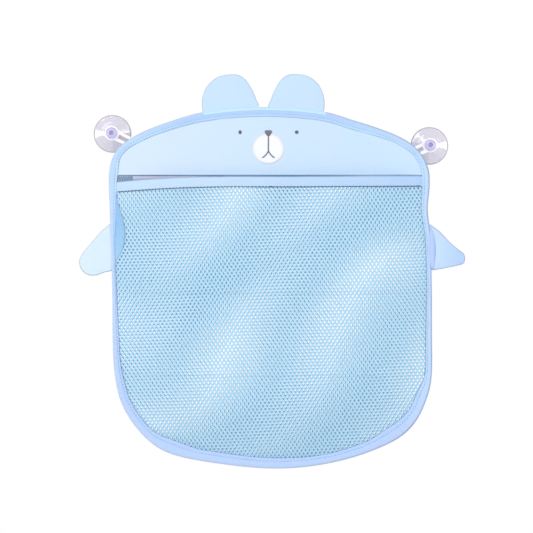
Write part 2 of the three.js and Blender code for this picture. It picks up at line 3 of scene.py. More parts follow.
import bmesh
import bpy
import numpy as np
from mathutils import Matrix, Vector


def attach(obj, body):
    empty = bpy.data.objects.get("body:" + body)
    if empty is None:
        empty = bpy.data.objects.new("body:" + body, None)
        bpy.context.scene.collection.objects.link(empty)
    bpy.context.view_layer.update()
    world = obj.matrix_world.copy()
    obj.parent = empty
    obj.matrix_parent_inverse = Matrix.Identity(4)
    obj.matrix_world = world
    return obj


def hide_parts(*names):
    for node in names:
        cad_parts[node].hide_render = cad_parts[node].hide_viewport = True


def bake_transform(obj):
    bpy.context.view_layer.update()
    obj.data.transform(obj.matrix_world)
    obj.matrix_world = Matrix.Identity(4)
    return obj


# Bath toy organizer. Metres, in the CAD frame: X to the right, Z up, and the wall at Y = 0 with
# the bag in front of it. A depth is how far a place stands out from the wall.

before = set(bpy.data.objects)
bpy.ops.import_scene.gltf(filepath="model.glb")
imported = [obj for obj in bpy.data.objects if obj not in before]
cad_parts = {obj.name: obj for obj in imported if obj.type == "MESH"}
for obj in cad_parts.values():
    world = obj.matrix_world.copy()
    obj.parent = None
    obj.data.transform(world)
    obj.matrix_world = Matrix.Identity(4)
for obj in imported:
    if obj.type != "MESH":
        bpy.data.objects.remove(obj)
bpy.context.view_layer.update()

# Sizes of the bag, as in the CAD source
BAG_WIDTH = 0.338
BAG_HEIGHT = 0.3795
BAG_RISE = 0.0329
BINDING_WIDTH = 0.0065
HEAD_DROP = 0.0715
NET_LAP = 0.008
HEM_HEIGHT = 0.011
MOUTH_GAP = 0.0009
MOUTH_SAG = 0.0012
MOUTH_DEPTH = 0.008
BELLY_DEPTH = 0.02
BELLY_FALL = 0.11
SHOULDER = 0.078

# The left end of the mouth, which hangs a little lower than in the CAD source
MOUTH_DROOP = 0.007
DROOP_LENGTH = 0.14

# Depths out from the wall
BINDING_BACK = 0.022
BINDING_FRONT = 0.0263
LINING_FRONT = 0.0235
BACK_NET_DEPTH = 0.02415
HEAD_BACK = 0.0248
NET_EDGE_DEPTH = 0.0251
FRONT_NET_DEPTH = 0.02615
BAG_MIDDLE = 0.02415

# Sheets
CLOTH = 0.0005
TAPE = 0.0007
UNDER_BINDING = 0.0025
HEAD_CROWN = 0.0009
HEAD_DRIFT = 0.00025
HEAD_EDGE_RISE = 0.012
CROWN_FADE = 0.03
RIPPLE = 0.00012
RIPPLE_FADE = 0.006
EDGE_TUCK = 0.0035
FILLING = 0.0009
FILLING_GAP = 0.0001
FOLD_RADIUS = 0.0011
FOLD_THICKNESS = 0.00035
FOLD_SIDES = 10
RIPPLE_WAVES = (260, 60)
RIPPLE_BEND = 2
HEAD_EDGE_SHARE = 0.6
HEAD_GRID = (41, 121)
EDGE_STEPS = 160

# Binding
RIM_STEPS = 384
COARSE_RIM_STEPS = 128
SEAM_STEPS = 768
CURVE_STEPS = 24
PUCKER = 0.05
PUCKER_WAVES = (57, 23)
PUCKER_START = 1
EDGE_BAND_SHARE = 0.2
MIN_WALL = 0.0008
SEAM_SHARE = 0.7
SEAM_RISE_SHARE = 1.05
PINCH_DEPTH = 0.0042
PINCH_SHADE_WIDTH = 0.0006
PINCH_SHADE_RISE = 0.0003
PINCH_END = 0.12
PINCH_TURNS = (0.372, 0.405)
NET_END_TURNS = (0.3, 0.7)
HEAD_TURNS = (0.85, 0.95)

# Netting
NET_PITCH = 0.00427
NET_ROW = 0.00335
NET_MARGIN = 0.0027
NET_UNDER_HEM_SHARE = 0.6
NET_TURNS = {"back": math.radians(1.5), "front": math.radians(2.9)}
NET_STRETCHES = {"back": (1, 1), "front": (1.016, 0.99)}
NET_SWAYS = {"back": 0.0002, "front": 0.0004}
HOLE_SHARE = 0.56
HOLE_ROUNDING_SHARES = (0.94, 1.06)
STRAND_THICKNESS = 0.0003
KNOT_SHARES = (1.3, 0.9)
CREASE_LEVELS = (-0.1602, -0.2463)
CREASE_DEPTH = 0.0011
CREASE_WIDTH = 0.0024
WAVE_DEPTH = 0.0006
NET_SETTLE = 0.006
FOLD_LEVELS = (-0.049, -0.13)
FOLD_WIDTH = 0.013
FOLD_SKEW = 1.7
FOLD_RISE = 0.0006
FOLD_SHEET = 0.0003
FOLD_TUCK = 0.002
FOLD_GRID = (33, 6)
PLACE_DECIMALS = 6

# Ears, arms and the face
SEAM_GAP = 0.0008
FOOT_TUCK = 0.0012
FOOT_FADE_SHARE = 0.3
FILL_SHARE = 0.8
FILL_EDGE_SHARE = 0.8
SEAM_DENT = 0.25
SEAM_DENT_PLACE = 0.9
SEAM_DENT_WIDTH = 0.04
FLAP_STEPS = 96
FLAP_EDGE_SIDES = 8
FILL_RISE = 0.0045
EAR_HEIGHT = 0.0345
LEFT_EAR_FOOT = -0.07
LEFT_EAR_WIDTH = 0.0574
RIGHT_EAR_FOOT = 0.0538
RIGHT_EAR_WIDTH = 0.0565
EAR_CROWN = 0.0017
LEFT_ARM_REACH = 0.0325
RIGHT_ARM_REACH = 0.0335
ARM_LENGTH = 0.047
ARM_DROP = 0.123
ARM_CROWN = 0.0011
FLAP_INNER = 0.00015
FLAP_EDGE = 0.0008
FLAP_EDGE_INSET = 0.0003
TAB_LEVELS = (-0.095, -0.1365)
TAB_REACH = 0.0047
TAB_TUCK = 0.002
TAB_FRONT = 0.0272
TAB_ROUND = 0.0015
TAB_GRID = (25, 7)
FACE_SHIFT = -0.0027
FACE_DROP = 0.044
MUZZLE_WIDTH = 0.0332
MUZZLE_HEIGHT = 0.0325
NOSE_WIDTH = 0.0078
NOSE_HEIGHT = 0.0066
NOSE_RISE = 0.0192
NOSE_CORNER = 0.0008
MOUTH_WIDTH = 0.013
MOUTH_SPLIT = -0.0024
MOUTH_FALL = 0.0069
MOUTH_STROKE = 0.0013
EYE_HALF_SIZES = {"left": (0.0017, 0.0021), "right": (0.002, 0.0019)}
EYE_SPACING = 0.0594
EYE_RISE = 0.0175
PRINT = 0.0002
FILM_RINGS = 5
SMALL_FILM_RINGS = 3
MUZZLE_STEPS = 72
NOSE_STEPS = 40
EYE_STEPS = 32
MOUTH_STEPS = 9
LIP_STEPS = 24

# Suction cups, hooks and hang loops
CUP_INSET = 0.00075
CUP_RISE = 0.0064
CUP_RADIUS = 0.02
CUP_RIM = 0.0014
CUP_LIP = 0.0009
CUP_HOLLOW = 0.006
CUP_DOME = 0.0094
CUP_BEAD = 0.0009
CUP_BEND = 0.0003
CUP_STEPS = 96
HOLLOW_STEPS = 28
DOME_STEPS = 36
KNOB_STEPS = 24
NECK_RADIUS = 0.0045
NECK_LENGTH = 0.0026
KNOB_RADIUS = 0.0061
KNOB_HEIGHT = 0.0054
DIMPLE_RADIUS = 0.0021
DIMPLE_DEPTH = 0.0006
ALMOST_AXIS = 0.0001
HOOK_FRONT = 0.0117
HOOK_EDGE = 0.00035
HOOK_JOIN = 0.00002
HOOK_FLAT = math.radians(2)
HOOK_SHARP = math.radians(40)
HOOK_EDGE_STEPS = 3
HOOK_EDGE_PROFILE = 0.6
HOOK_REACH = 0.042
RING_RADIUS = 0.0076
GROOVE_WIDTH = 0.0046
GROOVE_DEPTH = 0.001
HOOK_ANGLES = {"left": math.radians(-26), "right": math.radians(204)}
LOOP_WIDTH = 0.0067
LOOP_START = 0.0365
LOOP_TOP = 0.0052
LOOP_TURN = 0.0012
LOOP_PAD = 0.0045
LOOP_FLAT = 0.021
LOOP_LENGTH = 0.031
LOOP_FRONT = 0.02265
LOOP_BACK = 0.01445
LOOP_SLACK = 0.0004
LOOP_SEWN_RISE = 0.0108
LOOP_STEPS = 60
LOOP_SPLIT_SHARE = 0.4
LOOP_LOW_SHARE = 0.85
LOOP_TURN_SHARES = (1.6, 0.3)

# Hem
HEM_THIN = 0.00035
HEM_THICK = 0.0011
HEM_FADE_START = 0.004
HEM_FADE = 0.012
HEM_SEAM_SHARE = 0.95
HEM_LAP = 0.0019
HEM_TUCK_SHARE = 0.85
HEM_STEPS = 90

# Camera, light and floor
CAMERA_PLACE = (-0.0047, -2.024, -0.1345)
SENSOR = 36
LENS = 128.65
LIT_PLACE = (0, 0, -0.15)
ROOM_LIGHT = 0.39
LIGHTS = [
    ("key", (-1.1, -1.9, 1.3), 1.4, 21.9),
    ("fill", (1.3, -1.7, 0.2), 1.6, 8.1),
    ("left_glint", (-1.5, -0.82, 0.12), 0.55, 7),
    ("right_glint", (1.5, -0.82, 0.12), 0.55, 6),
]
FLOOR_LEVEL = -0.6
FLOOR_REACH = 1.2

# Threads
STITCH = 0.0024
STITCH_GAP = 0.0012
THREAD = 0.00035
DARK_THREAD = 0.00055
OVERLOCK_STEP = 0.0009
ROW_THREAD = 0.0008
ROW_STITCH = 0.0012
ROW_GAP = 0.0004
EDGE_STRIP = 0.0012
STRIP_RISE = 0.003
STRIP_FALL = 0.002
STRIP_FRONT = 0.02475
STRIP_SHEET = 0.0002
ZIGZAG_END = -0.145
ROW_END = -0.05
NET_END = 0.0005
NET_END_LENGTH = 0.001
NET_END_GAP = 0.0017
NET_END_INSET = 0.0004
HEAD_SEAM_INSET = 0.0004
THREAD_SIDES = 6
ROW_STEPS = 60

# Cloth and plastic as materials
CLOTH_ROUGHNESS = 0.9
CLOTH_SHEEN = 0.12
SHEEN_ROUGHNESS = 0.5
CLOTH_SPECULAR = 0.2
NET_SHEEN = 0.3
PRINT_ROUGHNESS = 0.6
DRIFT_NOISE = {"Scale": 22, "Detail": 3, "Roughness": 0.6}
FLECK_WEIGHT = 0.35
FLECK_SHARE = 0.6
FLECK_DETAIL = 2
SHADE_SPAN = (0.45, 1.15)
WEAVE_SHARE = math.pi / 10
WEAVE_WAVE = {"Distortion": 0.6, "Detail": 1}
WEAVE_RELIEF = {"Strength": 0.5, "Distance": 0.00012}
PLASTIC_NOISE = {"Scale": 260, "Detail": 2}
PLASTIC_RELIEF = {"Strength": 0.15, "Distance": 0.0002}
PLASTIC_IOR = 1.4
COAT_IOR = 1.8
COAT_ROUGHNESS = 0.12
FLOOR_ROUGHNESS = 0.9

# Shares of the half width and of the height, clockwise from the top
OUTLINE_SHARES = [
    (-0.02, 0), (0.34, 0.0138), (0.508, 0.036), (0.663, 0.058), (0.788, 0.08), (0.881, 0.105),
    (0.943, 0.1355), (0.98, 0.174), (0.986, 0.216), (0.974, 0.285), (0.9925, 0.354),
    (0.998, 0.465), (1, 0.617), (0.997, 0.75), (0.974, 0.799), (0.9055, 0.866), (0.812, 0.91),
    (0.626, 0.9515), (0.365, 0.985), (0.0606, 1), (-0.306, 0.9875), (-0.617, 0.96),
    (-0.735, 0.932), (-0.859, 0.874), (-0.936, 0.8105), (-0.972, 0.735), (-0.983, 0.65),
    (-0.985, 0.53), (-0.992, 0.42), (-1.001, 0.29), (-1.005, 0.18), (-0.98, 0.1355),
    (-0.921, 0.102), (-0.797, 0.069), (-0.629, 0.04), (-0.418, 0.0138),
]
# The width of the binding, clockwise from the top: shares of a turn about the middle of the bag,
# and of BINDING_WIDTH
BINDING_SHARES = [
    (0, 1.55), (0.06, 1.5), (0.135, 1.1), (0.155, 1.25), (0.18, 0.95), (0.24, 0.8),
    (0.325, 1.05), (0.35, 1.85),
    (0.39, 2.3), (0.415, 1.7), (0.45, 1.52), (0.5, 1.7), (0.56, 1.8), (0.588, 2.2), (0.615, 1.6),
    (0.65, 1.45), (0.69, 1.05), (0.75, 0.68), (0.79, 0.65), (0.825, 1), (0.848, 1.4),
    (0.865, 1.1), (0.9, 1.25), (0.95, 1.5), (1, 1.55),
]
EAR_SHARES = [
    (0, 0), (-0.02, 0.25), (0.03, 0.52), (0.13, 0.77), (0.31, 0.96), (0.49, 1), (0.68, 0.96),
    (0.8, 0.79), (0.89, 0.51), (0.95, 0.23), (0.99, 0),
]
LEFT_ARM_SHARES = [
    (0, 0), (0.17, 0.1), (0.41, 0.27), (0.65, 0.45), (0.87, 0.63), (0.99, 0.78), (0.95, 0.97),
    (0.75, 1.1), (0.5, 1.12), (0.22, 1.06), (0, 1),
]
RIGHT_ARM_SHARES = [
    (0, 0), (0.11, 0.07), (0.33, 0.25), (0.58, 0.45), (0.82, 0.61), (0.97, 0.71), (1, 0.8),
    (0.95, 0.9), (0.76, 0.94), (0.5, 0.97), (0.22, 1), (0, 1),
]
EAR_MIDDLE_SHARES = (0.47, 0.42)
ARM_MIDDLE_SHARES = (0.4, 0.64)
RING_SHARES = (1, 0.985, 0.96, 0.92, 0.86, 0.76, 0.62, 0.44, 0.24)
DOME_SHARES = [(0.93, 0.13), (0.75, 0.37), (0.55, 0.66), (0.36, 0.9)]
HOLLOW_SHARES = [(0.2, 0.99), (0.42, 0.9), (0.68, 0.62), (0.88, 0.22)]
KNOB_SHARES = [(0.98, 0.14), (1, 0.45), (0.9, 0.78), (0.62, 0.96)]
# A lip from the fork of the mouth line: shares of half the mouth's width and of its fall
LIP_SHARES = [(0, 0), (0.18, 0.28), (0.44, 0.6), (0.77, 0.88), (1, 1)]
# A stitch: shares of its length and of its radius
STITCH_SHARES = [(0, 0.35), (0.2, 0.9), (0.5, 1), (0.8, 0.9), (1, 0.35)]
# The folded tape of the binding, from its inner front edge round the rim to its inner back edge:
# shares of its width from the rim, and shares of its thickness from the middle
BINDING_PROFILE_SHARES = [
    (1, 0.86), (0.96, 1.04), (0.86, 1.1), (0.76, 0.98), (0.66, 1.12), (0.38, 1.25), (0.24, 1.2),
    (0.13, 1.02), (0.04, 0.6), (0, 0.15), (0, -0.15), (0.04, -0.6), (0.13, -0.98), (0.3, -1.06),
    (0.6, -1.06), (0.76, -0.96), (0.86, -1.02), (0.96, -1), (1, -0.86),
]
# Profile places of the inner band, which takes a painted highlight
INNER_BAND = range(0, 4)
# Profile places of the outer edge, which takes painted shade
OUTER_EDGE = range(6, 12)
# Profile places of the ridge, which under the ears takes a painted highlight
RIDGE = range(5, 9)
# The rolled hem in section: shares of its height from the top, and of its half thickness
HEM_PROFILE_SHARES = [
    (0.02, 0.35), (0.0, -0.35), (0.06, -0.9), (0.3, -1), (0.6, -1), (0.78, -0.85),
    (0.9, -1), (0.98, -0.8), (1, 0), (0.98, 0.85), (0.9, 1.1), (0.8, 0.85), (0.6, 1.15),
    (0.3, 1.2), (0.08, 0.9),
]
TAPE_PROFILE_SHARES = [(0, 0.7), (0.08, 1), (0.5, 1.1), (0.92, 1), (1, 0.7)]

# Slow waves: radians per metre across and up, and where each starts
HEAD_WAVES = [(34, 0, 1), (9, 52, 0)]
BELLY_WAVES = [(41, 23, 0), (17, 31, 2.3), (-23, 37, 1)]
SWAY_WAVES = [(0, 31, 0.6), (23, 11, 0), (-13, 29, 0.4)]

head_level = BAG_RISE - HEAD_DROP
hem_level = head_level - MOUTH_GAP - HEM_HEIGHT
half_width = BAG_WIDTH / 2
bag_centre = np.array([0, BAG_RISE - BAG_HEIGHT / 2])


def smooth(t):
    t = np.clip(t, 0, 1)
    return t * t * (3 - 2 * t)


def lerp(a, b, t):
    return a + (b - a) * t


def smooth_line(points, count, closed=False):
    """Evenly spaced points on a smooth curve through the given ones."""
    p = np.array(points, float)
    if closed:
        p = np.vstack([p[-1:], p, p[:2]])
    else:
        p = np.vstack([2 * p[:1] - p[1:2], p, 2 * p[-1:] - p[-2:-1]])
    t = np.linspace(0, 1, CURVE_STEPS, endpoint=False)[:, None]
    dense = []
    for a, b, c, d in zip(p, p[1:], p[2:], p[3:]):
        before, span, after = [math.sqrt(np.linalg.norm(v)) for v in (b - a, c - b, d - c)]
        leave = span * ((b - a) / before - (c - a) / (before + span)) + (c - b)
        arrive = (c - b) + span * ((d - c) / after - (d - b) / (span + after))
        bow = 2 * (b - c) + leave + arrive
        dense.append(b + t * leave + t**2 * ((c - b) - leave - bow) + t**3 * bow)
    dense = np.vstack(dense + [p[-2:-1]])
    along = np.concatenate([[0], np.cumsum(np.linalg.norm(np.diff(dense, axis=0), axis=1))])
    places = np.linspace(0, along[-1], count, endpoint=not closed)
    return np.stack([np.interp(places, along, axis) for axis in dense.T], axis=1)


def outline(count):
    """The rim of the bag, clockwise from the top."""
    corners = [(x * half_width, BAG_RISE - drop * BAG_HEIGHT) for x, drop in OUTLINE_SHARES]
    return smooth_line(corners, count, closed=True)


def inward_normals(loop):
    along = np.roll(loop, -1, axis=0) - np.roll(loop, 1, axis=0)
    along /= np.linalg.norm(along, axis=1)[:, None]
    return np.stack([along[:, 1], -along[:, 0]], axis=1)


def closed_line(loop):
    return np.vstack([loop, loop[:1]])


def turn_share(x, z):
    """Which way a place lies from the middle of the bag: a share of a turn from the top."""
    return np.arctan2(x - bag_centre[0], z - bag_centre[1]) / (2 * math.pi) % 1


def binding_width(x, z):
    """Width of the binding on the side of the bag where a place is."""
    turns, shares = np.array(BINDING_SHARES).T
    turn = turn_share(x, z)
    following = np.clip(np.searchsorted(turns, turn, side="right"), 1, len(turns) - 1)
    start, end = turns[following - 1], turns[following]
    share = lerp(shares[following - 1], shares[following], smooth((turn - start) / (end - start)))
    return share * BINDING_WIDTH


def waves(x, z, table):
    return sum(np.sin(across * x + up * z + start) for across, up, start in table)


def inside(x, z, loop):
    found = np.zeros(np.shape(x), bool)
    for (ax, az), (bx, bz) in zip(loop, np.roll(loop, -1, axis=0)):
        if az != bz:
            crosses = (az > z) != (bz > z)
            found ^= crosses & (x < ax + (z - az) * (bx - ax) / (bz - az))
    return found


def distance_to(x, z, line):
    """How far each place is from a line of points."""
    nearest = np.full(np.shape(x), np.inf)
    for a, b in zip(line, line[1:]):
        span = b - a
        share = np.clip(((x - a[0]) * span[0] + (z - a[1]) * span[1]) / (span @ span), 0, 1)
        away = np.hypot(x - a[0] - share * span[0], z - a[1] - share * span[1])
        nearest = np.minimum(nearest, away)
    return nearest


rim = outline(RIM_STEPS)
closed_rim = closed_line(rim)
coarse_rim = outline(COARSE_RIM_STEPS)
pocket_rim = coarse_rim[coarse_rim[:, 1] < head_level]


def crossings(axis, place):
    """Where the rim crosses a place on one axis: the places on the other."""
    a, b = closed_rim[:-1], closed_rim[1:]
    other = 1 - axis
    crossed = ((a[:, axis] - place) * (b[:, axis] - place) <= 0) & (a[:, axis] != b[:, axis])
    a, b = a[crossed], b[crossed]
    share = (place - a[:, axis]) / (b[:, axis] - a[:, axis])
    return lerp(a[:, other], b[:, other], share)


def mouth_at(x):
    """Height of the hem's upper edge."""
    sag = MOUTH_SAG * (1 - (x / half_width) ** 2)
    far = np.clip(1 - (x + half_width) / DROOP_LENGTH, 0, 1)
    return head_level - MOUTH_GAP - sag - MOUTH_DROOP * far**2


def front_net_depth(x, z):
    """Depth of the middle of the front netting, which swells out from the binding."""
    level = np.minimum(z, mouth_at(x) - HEM_HEIGHT)
    inward = np.maximum(distance_to(x, level, pocket_rim) - binding_width(x, level), 0)
    slope = np.sin(np.minimum(1, inward / SHOULDER) * math.pi / 2)
    belly = smooth((hem_level - level) / BELLY_FALL)
    swell = slope * lerp(MOUTH_DEPTH, BELLY_DEPTH, belly)
    for crease in CREASE_LEVELS:
        swell += slope * CREASE_DEPTH * np.exp(-(((z - crease) / CREASE_WIDTH) ** 2))
    swell += slope * belly * WAVE_DEPTH * waves(x, z, BELLY_WAVES)
    return lerp(NET_EDGE_DEPTH, FRONT_NET_DEPTH, smooth(inward / NET_SETTLE)) + swell


# Materials
MIX_FIRST, MIX_SECOND, MIX_RESULT = 6, 7, 2
materials = {}


def colour(red, green, blue):
    """A colour as it looks in the picture, for a shader."""
    shares = [c / 255 for c in (red, green, blue)]
    return [c / 12.92 if c < 0.04045 else ((c + 0.055) / 1.055) ** 2.4 for c in shares] + [1]


def feed(tree, sockets, values):
    """Gives sockets their values, each a plain one or the link from another socket."""
    for key, value in values.items():
        if isinstance(value, bpy.types.NodeSocket):
            tree.links.new(value, sockets[key])
        else:
            sockets[key].default_value = value


def node(tree, kind, values=None, **settings):
    made = tree.nodes.new(kind)
    for key, value in settings.items():
        setattr(made, key, value)
    feed(tree, made.inputs, values or {})
    return made


def material(name, base, roughness):
    """A new material: its node tree and the sockets of its shader."""
    made = bpy.data.materials.new(name)
    made.use_nodes = True
    materials[name] = made
    sockets = made.node_tree.nodes["Principled BSDF"].inputs
    feed(made.node_tree, sockets, {"Base Color": base, "Roughness": roughness})
    return made.node_tree, sockets


def ranged(tree, value, low, high):
    """A value as its share of the way from low to high."""
    values = {"Value": value, "From Min": low, "From Max": high}
    return node(tree, "ShaderNodeMapRange", values).outputs["Result"]


def mixed(tree, share, first, second):
    """A colour between two others, each a socket or a plain colour."""
    values = {"Factor": share, MIX_FIRST: first, MIX_SECOND: second}
    return node(tree, "ShaderNodeMix", values, data_type="RGBA").outputs[MIX_RESULT]


def fabric(name, base, shade, thread, *fades, roughness=CLOTH_ROUGHNESS, sheen=CLOTH_SHEEN):
    """Woven cloth: two sets of crossing threads, with its colour drifting towards a shade. A fade
    is an axis, two places on it, and the colour that the base turns into between them."""
    plain = colour(*base)
    tree, shader = material(name, plain, roughness)
    place = node(tree, "ShaderNodeTexCoord").outputs["Object"]
    axes = node(tree, "ShaderNodeSeparateXYZ", {0: place})
    for axis, start, end, far in fades:
        along = ranged(tree, axes.outputs[axis], start, end)
        plain = mixed(tree, along, plain, colour(*far))
    drift = node(tree, "ShaderNodeTexNoise", {"Vector": place, **DRIFT_NOISE})
    flecks = {"Vector": place, "Scale": FLECK_SHARE / thread, "Detail": FLECK_DETAIL}
    fleck = node(tree, "ShaderNodeTexNoise", flecks)
    parts = {0: fleck.outputs["Fac"], 1: FLECK_WEIGHT, 2: drift.outputs["Fac"]}
    both = node(tree, "ShaderNodeMath", parts, operation="MULTIPLY_ADD")
    share = ranged(tree, both.outputs[0], *SHADE_SPAN)
    weave = node(tree, "ShaderNodeMath", operation="MAXIMUM")
    for number, direction in enumerate(("X", "Z")):
        values = {"Vector": place, "Scale": WEAVE_SHARE / thread, **WEAVE_WAVE}
        wave = node(tree, "ShaderNodeTexWave", values, bands_direction=direction)
        tree.links.new(wave.outputs["Fac"], weave.inputs[number])
    relief = {"Height": weave.outputs[0], **WEAVE_RELIEF}
    feed(tree, shader, {
        "Base Color": mixed(tree, share, plain, colour(*shade)),
        "Normal": node(tree, "ShaderNodeBump", relief).outputs["Normal"],
        "Sheen Weight": sheen,
        "Sheen Roughness": SHEEN_ROUGHNESS,
        "Specular IOR Level": CLOTH_SPECULAR,
    })


def clear_plastic(name, base, roughness, clearness, coat=0, painted_glow=0):
    tree, shader = material(name, colour(*base), roughness)
    place = node(tree, "ShaderNodeTexCoord").outputs["Object"]
    ripple = node(tree, "ShaderNodeTexNoise", {"Vector": place, **PLASTIC_NOISE})
    relief = {"Height": ripple.outputs["Fac"], **PLASTIC_RELIEF}
    feed(tree, shader, {
        "Transmission Weight": clearness,
        "IOR": PLASTIC_IOR,
        "Coat Weight": coat,
        "Coat IOR": COAT_IOR,
        "Coat Roughness": COAT_ROUGHNESS,
        # Any glow is painted light: the plastic is no lamp
        "Emission Color": colour(*base),
        "Emission Strength": painted_glow,
        "Normal": node(tree, "ShaderNodeBump", relief).outputs["Normal"],
    })


ACROSS, UP = 0, 2
LEFT_SIDE = -0.16
PALE_RIGHT = (ACROSS, 0.14, 0.165, (197, 226, 254))
# Cloth and thread: colour, shade, width of a thread, and any fades
FABRICS = {
    "head_cloth": (
        (216, 235, 254), (212, 230, 254), 0.0006, (ACROSS, LEFT_SIDE, 0.08, (203, 230, 253)),
    ),
    "lining_cloth": ((206, 230, 253), (212, 230, 254), 0.0006),
    "ear_cloth": ((201, 229, 254), (206, 226, 253), 0.0006),
    "left_arm_cloth": ((219, 238, 252), (212, 234, 253), 0.0006),
    "right_arm_cloth": (
        (204, 228, 253), (196, 218, 253), 0.0006, (ACROSS, 0.172, 0.198, (180, 212, 253)),
    ),
    "binding_tape": (
        (190, 214, 252), (186, 212, 252), 0.0005, (UP, -0.28, -0.08, (194, 226, 254)),
        PALE_RIGHT, (UP, 0, 0.022, (178, 212, 251)),
    ),
    # A painted highlight on the inner band of the binding, lighter up its sides and towards the
    # right
    "inner_tape": (
        (188, 212, 252), (184, 212, 252), 0.0005, (UP, -0.12, -0.03, (204, 236, 254)),
        PALE_RIGHT, (UP, 0, 0.022, (186, 220, 252)),
    ),
    # Painted shade on the outer edge of the binding, darker towards the right
    "tape_edge": (
        (196, 214, 248), (194, 216, 248), 0.0005, (ACROSS, 0.02, 0.16, (158, 172, 212)),
    ),
    # A painted highlight along the fold of the binding under the ears
    "ridge_tape": ((204, 236, 254), (202, 234, 254), 0.0005),
    "hem_tape": (
        (200, 226, 250), (196, 222, 249), 0.0005, (ACROSS, -0.06, 0.13, (180, 210, 250)),
    ),
    "tab_tape": (
        (192, 212, 252), (186, 210, 252), 0.0005, (ACROSS, 0.1698, 0.1725, (152, 186, 240)),
    ),
    "loop_tape": ((188, 212, 250), (196, 218, 252), 0.0005),
    "fold_cloth": (
        (150, 197, 240), (156, 202, 242), 0.0004, (UP, -0.09, -0.125, (170, 212, 246)),
    ),
    # Painted shade of a crease in the binding
    "pinch_cloth": ((130, 168, 222), (136, 172, 226), 0.0004),
    "wadding": ((244, 245, 246), (236, 238, 240), 0.0012),
    # Darker in the middle partly as painted shade in the narrow gap of the mouth
    "overlock_cloth": (
        (208, 212, 234), (196, 204, 228), 0.0004, (ACROSS, -0.085, -0.055, (130, 164, 196)),
        (ACROSS, 0.06, 0.1, (176, 202, 228)),
    ),
    "slate_thread": (
        (130, 162, 190), (122, 154, 184), 0.0003, (ACROSS, -0.02, 0.1, (70, 100, 142)),
    ),
    "navy_thread": ((66, 90, 116), (74, 100, 128), 0.0003),
    "blue_thread": ((168, 198, 244), (164, 194, 240), 0.0003),
    # Dots at the ends of the netting, dark partly as painted shadow
    "teal_thread": ((110, 156, 192), (120, 164, 198), 0.0003),
    # Partly topstitching, partly painted shade in the crease beside the binding, darkest at the
    # left
    "head_thread": (
        (168, 204, 234), (172, 208, 238), 0.0003, (ACROSS, LEFT_SIDE, -0.04, (198, 228, 253)),
    ),
    # Rolled edges of the ears and arms, darker than their cloth partly as painted shade where they
    # turn away; the left arm's edge is darkest at its lower edge, a painted shadow line
    "ear_edge": ((186, 202, 238), (190, 206, 240), 0.0004),
    "left_arm_edge": (
        (160, 176, 190), (166, 182, 196), 0.0004, (UP, -0.136, -0.12, (206, 218, 238)),
    ),
    "right_arm_edge": ((152, 168, 206), (158, 174, 210), 0.0004),
}
YARNS = {
    "net_yarn": ((186, 226, 250), (180, 222, 250), 0.0003),
    # A little lighter than the front yarn: painted light for the back layer, which the front layer
    # shades
    "back_net_yarn": ((192, 230, 250), (188, 228, 250), 0.0003),
}
PRINTS = {
    "white_print": ((247, 249, 255), (249, 250, 255), 0.0006),
    "grey_print": ((126, 124, 140), (114, 114, 130), 0.0006),
    "eye_print": ((92, 108, 124), (100, 112, 128), 0.0006),
}
# Clear plastic: colour, roughness, clearness, and any coat and painted glow
PLASTICS = {
    "cup_plastic": ((228, 224, 238), 0.12, 0.8, 1),
    "bead_plastic": ((210, 206, 212), 0.15, 0.4),
    "knob_plastic": ((212, 208, 252), 0.15, 0.6),
    "dimple_plastic": ((156, 146, 208), 0.2, 0.4),
    # The hook's ribs: near white with a weak glow, a painted highlight
    "hook_plastic": ((252, 251, 253), 0.1, 0.1, 1, 0.2),
    "hook_shade": ((206, 200, 206), 0.2, 0.2),
}
for name, row in FABRICS.items():
    fabric(name, *row)
for name, row in YARNS.items():
    fabric(name, *row, sheen=NET_SHEEN)
for name, row in PRINTS.items():
    fabric(name, *row, roughness=PRINT_ROUGHNESS)
for name, row in PLASTICS.items():
    clear_plastic(name, *row)


# Making pieces
def shown(name, data):
    made = bpy.data.objects.new(name, data)
    bpy.context.scene.collection.objects.link(made)
    return made
def piece(name, points, faces, look, body=None, nodes=(), slot=None):
    mesh = bpy.data.meshes.new(name)
    mesh.from_pydata(np.asarray(points, float).tolist(), [], [list(map(int, f)) for f in faces])
    mesh.validate()
    work = bmesh.new()
    work.from_mesh(mesh)
    if work.calc_volume(signed=True) < 0:
        mesh.flip_normals()
    work.free()
    mesh.shade_smooth()
    for polygon in mesh.polygons:
        if len(polygon.vertices) > 4:
            polygon.use_smooth = False
    mesh.materials.append(materials[look])
    made = shown(name, mesh)
    if body:
        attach(made, body)
    if nodes:
        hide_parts(*nodes)
    return made


def paint(made, more, choice):
    """Further looks for a piece, and which one each face has."""
    for look in more:
        made.data.materials.append(materials[look])
    for polygon, number in zip(made.data.polygons, choice):
        polygon.material_index = number


def at_depth(x, z, depth):
    return np.stack([x, -np.asarray(depth) + np.zeros(np.shape(x)), z], axis=-1)


def grid_faces(rows, columns, start=0, around=False, flip=False):
    faces = []
    for i in range(rows - 1):
        for j in range(columns if around else columns - 1):
            a = start + i * columns + j
            b = start + i * columns + (j + 1) % columns
            face = [a, b, b + columns, a + columns]
            faces.append(face[::-1] if flip else face)
    return faces


def plate(x, z, *depths):
    """A closed sheet over a grid of places, between two depths."""
    rows, columns = x.shape
    size = rows * columns
    sides = [at_depth(x, z, depth) for depth in depths]
    faces = grid_faces(rows, columns) + grid_faces(rows, columns, size, flip=True)
    edge = list(range(columns))
    edge += [i * columns + columns - 1 for i in range(1, rows)]
    edge += [(rows - 1) * columns + j for j in range(columns - 2, -1, -1)]
    edge += [i * columns for i in range(rows - 2, 0, -1)]
    faces += [[b, a, a + size, b + size] for a, b in zip(edge, edge[1:] + edge[:1])]
    return np.reshape(sides, (-1, 3)), faces


